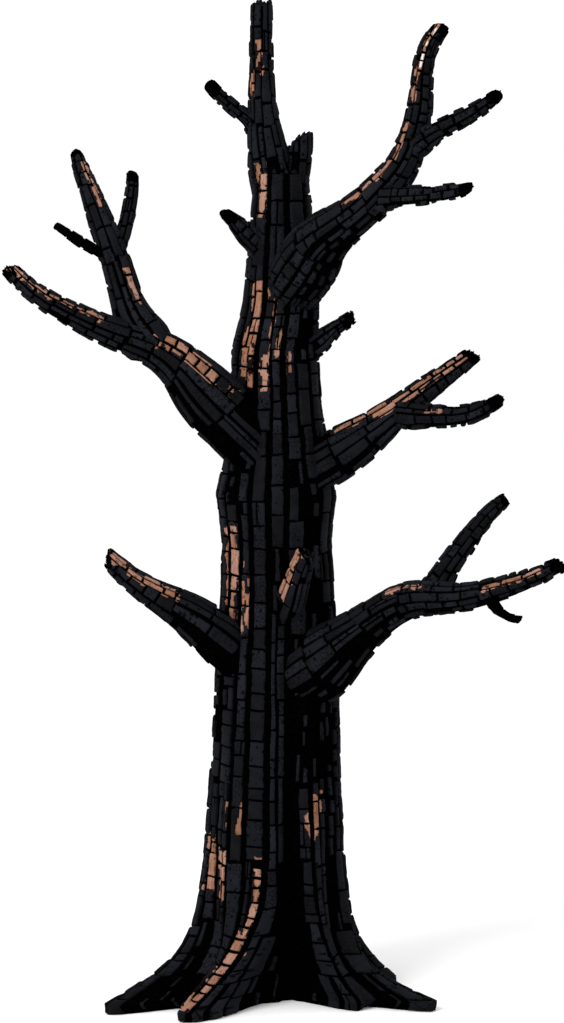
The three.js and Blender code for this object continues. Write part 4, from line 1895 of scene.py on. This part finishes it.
@dataclass
class BoughSystem(Assembly):
    """A bough with the forks and twigs that it carries."""

    limbs: tuple[Limb, ...] = ()
    bark: CharBark = field(default_factory=lambda: CharBark(
        wide=0.092, narrow=0.052, column_gap=0.26, end_gap=0.021, cleft_share=0.06, across=8, lengthwise=11,
    ))
    zone: float = 0.56
    jog: float = 0.035
    long_blocks: float = 0.30
    shade_under: float = 1.0
    burnt_over: float = 0.5
    clear_start: float = 0.10
    slim: float = 0.13
    twig: float = 0.06
    thin_tip: float = 0.09
    sooty_tip: float = 0.09
    covered_share: float = 0.25
    fewest: int = 5
    aside: float = 0.2
    thin_girth: float = 0.5
    lengths: Pair = (0.8, 1.2)
    side_sway: float = 0.05
    step_phase: Pair = (12.0, 7.0)
    tilt: float = 0.006
    seed: int = 100
    number: int = 40
    ring_step: float = 0.05
    fewest_rings: int = 8
    ring_points: int = 28
    fine_tip: float = 0.06
    splinter_counts: tuple[int, int] = (9, 14)
    splinter_reach: float = 0.82
    rooted: float = 0.012
    splinter_widths: Pair = (0.35, 0.7)
    splinter_height: float = 0.55

    def columns(self, limb: Limb, rng: Chance) -> list[Block]:
        """Lays out a limb's blocks, fewer round it as it thins.

        Args:
            limb: The limb.
            rng: The seeded chance.

        Returns:
            The blocks.
        """
        blocks: list[Block] = []
        bark = self.bark
        start = self.covered_share * limb.buried
        zones = bark.split(rng, start, limb.length, self.zone)
        for low, high in zip(zones[:-1], zones[1:]):
            girth = limb.girth((low + high) / 2.0)
            width = bark.width(girth)
            count = max(self.fewest, round(girth / width))
            turn = rng.uniform(0.0, 1.0)
            shift = rng.uniform(-self.aside, self.aside, count) / count
            phases = rng.uniform(0.0, FULL_TURN, count)
            gaps = 0.5 * bark.column_gap * width * rng.uniform(*bark.unequal, count)
            stout = min(1.0, max(0.0, girth - self.thin_girth) / (bark.wide_girth - self.thin_girth))
            sizes = rng.uniform(*self.lengths, count) * (bark.shortest + self.long_blocks * stout)
            sides = []
            for k in range(count + 1):
                own = k % count
                around = turn + k / count + shift[own]
                sides.append(Side(around, phases[own], self.side_sway / count, gaps[own]))
            for left, right, size in zip(sides[:-1], sides[1:], sizes):
                begin = low + (self.step(low, left.around) if low > start else 0.0)
                finish = high + (self.step(high, left.around) if high < limb.length else 0.0)
                bark.stack(blocks, rng, (left, right), bark.split(rng, begin, finish, size), self.tilt)
        return blocks

    def step(self, along: float, around: float) -> float:
        """How far a zone's edge steps to and fro between columns."""
        return self.jog * math.sin(phase(self.step_phase, around, along))

    def build(self, finishes: Finishes, trunk: TrunkShape, grown: dict[str, Limb]) -> int:
        """Builds the bough, its forks and its twigs.

        Args:
            finishes: The tree's finishes.
            trunk: The trunk.
            grown: All limbs by name.

        Returns:
            How many triangles it has.
        """
        for limb in self.limbs:
            rng = np.random.default_rng(self.seed + limb.order)
            patches = [patch for patch in self.patches if patch.node == limb.name]
            patches += self.shade_under_and_burnt_over(limb)
            sooty_from = limb.length - self.sooty_tip if limb.thick[-1] < self.thin_tip else math.inf
            covers: list[Surface] = [trunk]
            if limb.parent != "trunk":
                covers.append(grown[limb.parent])
            covers += [other for other in self.limbs if other.parent == limb.name]
            number = self.number + 2 * limb.order
            barked = BarkedShape(limb, self.bark, patches, number, rng, covers, sooty_from)
            skins = {**self.skins, Layer.BURNT_OUT: self.fissures}
            if limb.thick[0] < self.twig:
                skins[Layer.CHAR] = self.fissures
            barked.plates(self.columns(limb, rng), skins)
            rings = max(self.fewest_rings, round(limb.length / self.ring_step))
            rounds = np.arange(self.ring_points) / self.ring_points
            barked.floor(self.fissures, np.linspace(0.0, limb.length, rings), rounds, 1.0)
            self.tip(limb, rng)
        return self.dress(finishes, tuple(limb.name for limb in self.limbs))

    def shade_under_and_burnt_over(self, limb: Limb) -> list[Patch]:
        """Where a limb's blocks thin to slivers: under it as painted shade, and burnt off over it where it is
        slim.

        Args:
            limb: The limb.

        Returns:
            One patch or two.
        """
        start = 0.5 * limb.buried + self.clear_start
        down, up = (0.0, 0.0, -1.0), (0.0, 0.0, 1.0)
        under = Patch(limb.name, start, limb.length, down, 0.0, Layer.BURNT_OUT, half_turn=self.shade_under)
        if limb.thick[0] > self.slim:
            return [under]
        return [under, replace(under, facing=up, half_turn=self.burnt_over)]

    def tip(self, limb: Limb, rng: Chance) -> None:
        """Short torn splinters over a limb's broken end, burnt to soot where it is thin.

        Args:
            limb: The limb.
            rng: The seeded chance.
        """
        width = limb.thick[-1]
        fewer, more = self.splinter_counts
        count = fewer if width < self.fine_tip else more
        share = np.sqrt((np.arange(count) + 0.5) / count)[:, None] * self.splinter_reach
        rim = limb.point(np.full(count, limb.length), np.arange(count) * GOLDEN_TURN)
        middle = rim.mean(axis=0)
        feet = middle + (rim - middle) * share - limb.heading * self.rooted
        skin = self.fissures if width < self.thin_tip else self.skins[Layer.CHAR]
        least, most = self.splinter_widths
        torn = Splinters((least * width, most * width), self.splinter_height * width)
        torn.build(skin, rng, feet, limb.heading)


# The tree's own sizes, in metres and degrees


def on_trunk(start: float, end: float, bearing: float, half_width: float, layer: Layer = Layer.BARE,
             **more: float) -> Patch:
    """A bare place on the trunk.

    Args:
        start: The height where it starts.
        end: The height where it ends.
        bearing: Where it faces, in degrees.
        half_width: Half its width in metres.
        layer: What shows there.
        more: Other sizes of a patch.

    Returns:
        The patch.
    """
    facing = (math.cos(math.radians(bearing)), math.sin(math.radians(bearing)), 0.0)
    return Patch("trunk", start, end, facing, half_width, layer, **more)


def trunk_patches() -> list[Patch]:
    """The trunk's bare places.

    Returns:
        Those at the front, and seeded ones like them on its sides and back.
    """
    front = [
        on_trunk(6.30, 6.65, 226, 0.030),
        on_trunk(5.30, 5.80, 231, 0.064, cell=0.15),
        on_trunk(5.04, 5.40, 227, 0.058, cell=0.12),
        on_trunk(5.00, 5.82, 246, 0.014),
        on_trunk(5.12, 5.72, 262, 0.014, ragged=0.022),
        on_trunk(5.06, 5.28, 289, 0.014),
        on_trunk(4.94, 5.22, 255, 0.018),
        on_trunk(4.90, 5.08, 238, 0.024),
        on_trunk(5.20, 5.40, 273, 0.012),
        on_trunk(3.20, 3.84, 214, 0.085, cell=0.18),
        on_trunk(3.06, 3.40, 219, 0.050, cell=0.17),
        on_trunk(3.00, 3.40, 232, 0.030, cell=0.18),
        on_trunk(3.04, 3.44, 241, 0.016),
        on_trunk(3.30, 3.66, 244, 0.012),
        on_trunk(3.40, 3.58, 231, 0.020),
        on_trunk(0.90, 1.32, 207, 0.085, cell=0.16),
        on_trunk(0.84, 1.22, 222, 0.045, cell=0.16),
        on_trunk(1.40, 1.63, 225, 0.010),
        on_trunk(1.38, 1.62, 241, 0.030, ragged=0.055),
        on_trunk(1.34, 1.70, 306, 0.080, ragged=0.050),
        on_trunk(0.58, 1.20, 250, 0.030, root=6, offset=-4.0, cell=0.09),
        on_trunk(0.08, 0.62, 250, 0.080, root=6, offset=-5.0, ragged=0.065, cell=0.10),
    ]
    # Blocks thinned to slivers over the black core; those on the right side, at bearings 309 to 332, are
    # painted shade on the side away from the key light.
    burnt_out = [on_trunk(*row, Layer.BURNT_OUT) for row in (
        (1.75, 4.30, 309, 0.135),
        (1.65, 3.25, 332, 0.150),
        (5.20, 5.75, 322, 0.110),
        (3.95, 4.45, 225, 0.100),
        (2.05, 2.55, 205, 0.090),
        (3.00, 3.70, 278, 0.090),
        (0.60, 1.60, 327, 0.070),
    )]
    rng = np.random.default_rng(HIDDEN_SEED)
    hidden = []
    for bearing in (12, 38, 62, 88, 112, 140, 163):
        start = rng.uniform(0.9, 5.6)
        end = start + rng.uniform(0.25, 0.75)
        hidden.append(on_trunk(start, end, bearing, rng.uniform(0.02, 0.07)))
        start = rng.uniform(1.2, 5.0)
        end = start + rng.uniform(0.5, 1.6)
        burnt_out.append(on_trunk(start, end, bearing + 20, rng.uniform(0.06, 0.12), Layer.BURNT_OUT))
    ridges = [on_trunk(0.15, 0.95, 0, 0.03, root=k) for k in (1, 3)]
    return front + burnt_out + hidden + ridges


def bough_systems() -> list[BoughSystem]:
    """The tree's boughs with their forks, twigs and bare places.

    Returns:
        One assembly for each bough or group of them, from the leader down.
    """
    # The burnt-out patches that face down are painted shade under the boughs: their blocks thin to slivers
    # over the black core.
    leader = BoughSystem(
        "leader_stems",
        [
            Patch("leader", 0.05, 0.46, (-0.6, -0.8, 0.0), 0.024),
            Patch("leader", 1.00, 1.18, (-0.75, -0.65, 0.0), 0.020),
            Patch("leader", 1.16, 1.42, (-0.35, -0.93, 0.0), 0.012),
            Patch("leader", 0.60, 0.95, (0.5, 0.8, 0.0), 0.030),
        ],
        limbs=(
            Limb("leader", "trunk", 6.30, 1.71, (0.200, 0.172, 0.122, 0.098, 0.092), (180, 175),
                 (77, 81, 89, 91), 0, collar=0.1, snap=(0, 0)),
            Limb("snapped_fork", "trunk", 6.20, 0.80, (0.090, 0.120, 0.114), (-10, 10), (68, 80, 92), 1,
                 collar=0.0, snap=(270, 1.2)),
            Limb("leader_branch", "leader", 0.57, 0.71, (0.085, 0.065, 0.058), (170, 195), (62, 38, 46), 18,
                 collar=0.5),
        ),
    )
    upper_right = BoughSystem(
        "upper_right",
        [
            Patch("bough_upper_right", 1.20, 2.10, (-0.5, -0.66, 0.56), 0.040, ragged=0.034),
            Patch("bough_upper_right", 0.30, 0.95, (0.3, -0.4, -0.86), 0.120, Layer.BURNT_OUT),
            Patch("bough_upper_right", 2.26, 2.50, (-0.6, -0.8, 0.0), 0.030),
            Patch("bough_upper_right", 2.50, 2.93, (-0.3, -0.93, 0.2), 0.034),
            Patch("bough_upper_right", 2.54, 2.66, (-0.1, -0.99, 0.1), 0.018, Layer.BLEACHED, ragged=0.014),
            Patch("bough_upper_right", 2.69, 2.74, (-0.1, -0.99, 0.1), 0.016, Layer.BLEACHED, ragged=0.010),
            Patch("bough_upper_right", 2.79, 2.88, (0.0, -1.0, 0.1), 0.014, Layer.BLEACHED, ragged=0.012),
            Patch("bough_upper_right", 1.00, 1.50, (0.2, 0.8, 0.5), 0.050),
        ],
        limbs=(
            Limb("bough_upper_right", "trunk", 5.54, 2.93, (0.215, 0.195, 0.160, 0.105, 0.070),
                 (307, 307, 344, 400, 370), (56, 47, 28, 44, 70, 86, 50), 15, collar=0.6),
            Limb("bough_upper_right_outer", "bough_upper_right", 1.86, 0.90,
                 (0.090, 0.088, 0.084, 0.072, 0.055), (345, 335, 345), (40, 24, 40), 16, collar=0.35),
            Limb("bough_upper_right_level", "bough_upper_right", 1.41, 1.02,
                 (0.090, 0.086, 0.080, 0.068, 0.052), (300, 320, 335), (4, 4, 12), 17, collar=0.35),
        ),
        long_blocks=0.06,
    )
    middle_left = BoughSystem(
        "middle_left",
        [
            Patch("bough_middle_left", 0.84, 1.60, (0.12, -0.74, 0.66), 0.070, ragged=0.034, cell=0.12),
            Patch("bough_middle_left", 2.00, 2.87, (0.0, -0.80, 0.60), 0.040, ragged=0.030),
            Patch("bough_middle_left", 0.30, 1.25, (-0.5, -0.4, -0.77), 0.170, Layer.BURNT_OUT),
            Patch("bough_middle_left_riser", 0.42, 0.75, (0.54, -0.70, 0.38), 0.036, ragged=0.020),
            Patch("bough_middle_left_riser", 1.30, 1.77, (0.29, -0.60, 0.66), 0.028, ragged=0.020),
            Patch("bough_middle_left", 0.9, 1.3, (-0.2, 0.9, 0.3), 0.060),
            Patch("bough_middle_left_riser", 0.9, 1.3, (0.1, 0.95, 0.2), 0.040),
        ],
        limbs=(
            Limb("bough_middle_left", "trunk", 4.18, 2.89, (0.290, 0.185, 0.155, 0.115, 0.070),
                 (230, 190, 185, 180), (60, 45, 44, 19, 28, 48), 7),
            Limb("bough_middle_left_riser", "bough_middle_left", 1.45, 1.97,
                 (0.145, 0.138, 0.126, 0.095, 0.055), (165, 140, 125, 105), (44, 68, 54, 36), 8),
            Limb("bough_middle_left_fork", "bough_middle_left_riser", 0.92, 0.74, (0.070, 0.066, 0.054),
                 (60, 60, 80), (44, 66, 80), 9, collar=0.35),
            Limb("bough_middle_left_twig", "bough_middle_left_riser", 0.87, 0.57, (0.050, 0.050, 0.035),
                 (200, 190), (24, 36), 10, collar=0.35),
        ),
    )
    middle_right = BoughSystem(
        "middle_right",
        [
            Patch("bough_middle_right", 0.86, 1.30, (-0.42, -0.58, 0.70), 0.036, ragged=0.028),
            Patch("bough_middle_right", 1.20, 1.72, (-0.30, -0.84, 0.45), 0.030, ragged=0.026),
            Patch("bough_middle_right", 1.74, 2.04, (-0.20, -0.88, 0.44), 0.027, ragged=0.022),
            Patch("bough_middle_right_fork", 0.34, 0.53, (-0.52, -0.76, 0.39), 0.024, ragged=0.010),
            Patch("bough_middle_right", 0.30, 1.00, (0.4, -0.4, -0.82), 0.150, Layer.BURNT_OUT),
            Patch("bough_middle_right", 0.8, 1.2, (0.1, 0.9, 0.4), 0.040),
        ],
        limbs=(
            Limb("bough_middle_right", "trunk", 3.91, 2.13, (0.250, 0.155, 0.110, 0.105, 0.070),
                 (330, 350, 370), (60, 32, 36, 36), 11),
            Limb("bough_middle_right_fork", "bough_middle_right", 1.32, 1.07,
                 (0.105, 0.100, 0.096, 0.082, 0.060), (330, 315, 330), (-4, 4, 32), 12, collar=0.35),
        ),
    )
    lower_left = BoughSystem(
        "lower_left",
        [
            Patch("bough_lower_left", 1.22, 1.88, (0.1, -0.68, 0.72), 0.044, ragged=0.032),
            Patch("bough_lower_left", 0.30, 1.15, (-0.4, -0.4, -0.82), 0.160, Layer.BURNT_OUT),
            Patch("bough_lower_left", 0.9, 1.2, (0.0, 0.9, 0.4), 0.050),
        ],
        limbs=(
            Limb("bough_lower_left", "trunk", 2.42, 1.91, (0.270, 0.195, 0.130, 0.120, 0.085),
                 (215, 195, 170), (56, 40, 28, 44), 2, snap=(90, 1.3)),
        ),
    )
    lower_right = BoughSystem(
        "lower_right",
        [
            Patch("bough_lower_right", 1.40, 1.72, (-0.56, -0.40, 0.73), 0.036, ragged=0.024),
            Patch("bough_lower_right", 2.28, 2.82, (-0.54, -0.74, 0.40), 0.029, ragged=0.028),
            Patch("bough_lower_right", 0.30, 1.30, (0.4, -0.4, -0.82), 0.180, Layer.BURNT_OUT),
            Patch("bough_lower_right", 1.1, 1.6, (0.0, 0.95, 0.3), 0.050),
        ],
        limbs=(
            Limb("bough_lower_right", "trunk", 2.40, 3.00, (0.230, 0.182, 0.158, 0.110, 0.065),
                 (305, 345, 320, 340), (38, 36, 36, 4, 18, 30), 3),
            Limb("bough_lower_right_fork", "bough_lower_right", 1.69, 1.11,
                 (0.100, 0.096, 0.090, 0.074, 0.055), (10, 30, 50), (56, 48, 24), 4, collar=0.35),
            Limb("bough_lower_right_twig", "bough_lower_right", 2.30, 0.43, (0.055, 0.040, 0.035),
                 (300, 320), (-60, -24, 4), 5, collar=0.35),
        ),
        long_blocks=0.12,
    )
    stubs = BoughSystem(
        "stubs",
        [Patch("stub_front", 0.62, 1.10, (-0.75, -0.4, 0.5), 0.085)],
        limbs=(
            Limb("stub_front", "trunk", 2.88, 1.08, (0.130, 0.124, 0.112, 0.092), (282, 290, 300),
                 (36, 50, 58), 6, collar=0.4),
            Limb("stub_right", "trunk", 5.00, 0.85, (0.080, 0.065, 0.065), (335, 350), (44, 32), 13),
            Limb("stub_left", "trunk", 5.84, 0.74, (0.125, 0.070, 0.045), (215, 200), (52, 36), 14),
            Limb("stub_back", "trunk", 5.65, 0.72, (0.075, 0.045), (80, 90), (42, 52), 23),
        ),
    )
    back = BoughSystem(
        "back_boughs",
        [
            Patch("bough_back_low", 0.8, 1.5, (0.2, 0.5, 0.8), 0.045),
            Patch("bough_back", 0.9, 1.7, (-0.3, 0.6, 0.75), 0.045),
        ],
        limbs=(
            Limb("bough_back_low", "trunk", 2.55, 1.75, (0.150, 0.060), (95, 85, 95), (36, 30, 42), 19),
            Limb("bough_back_low_fork", "bough_back_low", 1.12, 0.62, (0.075, 0.040), (70, 80), (12, 34), 20),
            Limb("bough_back", "trunk", 4.30, 2.05, (0.165, 0.050), (85, 90, 85), (48, 40, 54), 21),
            Limb("bough_back_fork", "bough_back", 1.25, 0.82, (0.080, 0.045), (105, 95), (14, 36), 22),
        ),
    )
    return [leader, upper_right, middle_left, middle_right, lower_left, lower_right, stubs, back]


# Studio


@dataclass
class Studio:
    """A pale floor, soft light from all round and a camera where the photograph was taken from."""

    elevation: float = 6.0
    distance: float = 34.0
    target: Triple = (0.047, 0.0, 3.92855)
    lens: float = 148.52
    film: float = 36.0
    clip_end: float = 2000.0
    floor_rings: tuple[float, ...] = (3.0, 12.0, 50.0, 400.0)
    floor_points: int = 96
    key_power: float = 2400.0
    key_place: Triple = (-9.0, -12.0, 13.0)
    key_size: float = 7.0
    sky: float = 1.12

    def build(self) -> None:
        """Builds the floor, the lights and the camera."""
        self.lay_floor()
        self.light()
        self.aim_camera()

    def lay_floor(self) -> None:
        """A wide round floor at ground level."""
        count = self.floor_points
        turns = np.arange(count) * FULL_TURN / count
        following = [(k, (k + 1) % count) for k in range(count)]
        points = [(0.0, 0.0, 0.0)]
        for ring in self.floor_rings:
            points += [(ring * math.cos(t), ring * math.sin(t), 0.0) for t in turns]
        faces = [(0, 1 + k, 1 + after) for k, after in following]
        for low in range(1, 1 + count * (len(self.floor_rings) - 1), count):
            faces += [(low + k, low + count + k, low + count + after, low + after) for k, after in following]
        mesh = bpy.data.meshes.new("studio_floor")
        mesh.from_pydata(points, [], faces)
        floor = stood("studio_floor", mesh)
        mesh.materials.append(StudioFloor().material())

    def light(self) -> None:
        """White surroundings and one large soft key light from the upper left."""
        world = bpy.data.worlds.new("studio_surroundings")
        world.use_nodes = True
        background = world.node_tree.nodes["Background"]
        background.inputs["Color"].default_value = (1.0, 1.0, 1.0, 1.0)
        background.inputs["Strength"].default_value = self.sky
        bpy.context.scene.world = world
        lamp = bpy.data.lights.new("key_light", "AREA")
        lamp.energy = self.key_power
        lamp.size = self.key_size
        key = stood("key_light", lamp)
        key.location = self.key_place
        towards = Vector(self.target) - Vector(self.key_place)
        key.rotation_euler = towards.to_track_quat("-Z", "Y").to_euler()
        scene = bpy.context.scene
        scene.view_settings.view_transform = "Standard"
        scene.view_settings.look = "None"

    def aim_camera(self) -> None:
        """The camera, a little above level, at the photograph's angle."""
        data = bpy.data.cameras.new("photo_camera")
        data.lens = self.lens
        data.sensor_width = self.film
        data.sensor_height = self.film
        data.sensor_fit = "AUTO"
        data.clip_end = self.clip_end
        camera = stood("photo_camera", data)
        tilt = math.radians(self.elevation)
        away = Vector((0.0, -math.cos(tilt), math.sin(tilt)))
        camera.location = Vector(self.target) + away * self.distance
        camera.rotation_euler = (-away).to_track_quat("-Z", "Y").to_euler()
        bpy.context.scene.camera = camera


def main() -> None:
    """Builds the tree over its solids, then the studio."""
    logging.basicConfig(level=logging.INFO, format="%(name)s: %(message)s")
    finishes = Finishes()
    systems = bough_systems()
    trunk = Trunk("trunk", trunk_patches())
    waiting = sorted((limb for system in systems for limb in system.limbs), key=lambda limb: limb.order)
    grown: dict[str, Limb] = {}
    while waiting:
        limb = next(one for one in waiting if one.parent == "trunk" or one.parent in grown)
        limb.grow(trunk.shape, grown)
        grown[limb.name] = limb
        waiting.remove(limb)
    total = trunk.build(finishes, list(grown.values()))
    for system in systems:
        total += system.build(finishes, trunk.shape, grown)
    log.info("the whole tree: %d triangles", total)
    Studio().build()


if __name__ == "__main__":
    main()
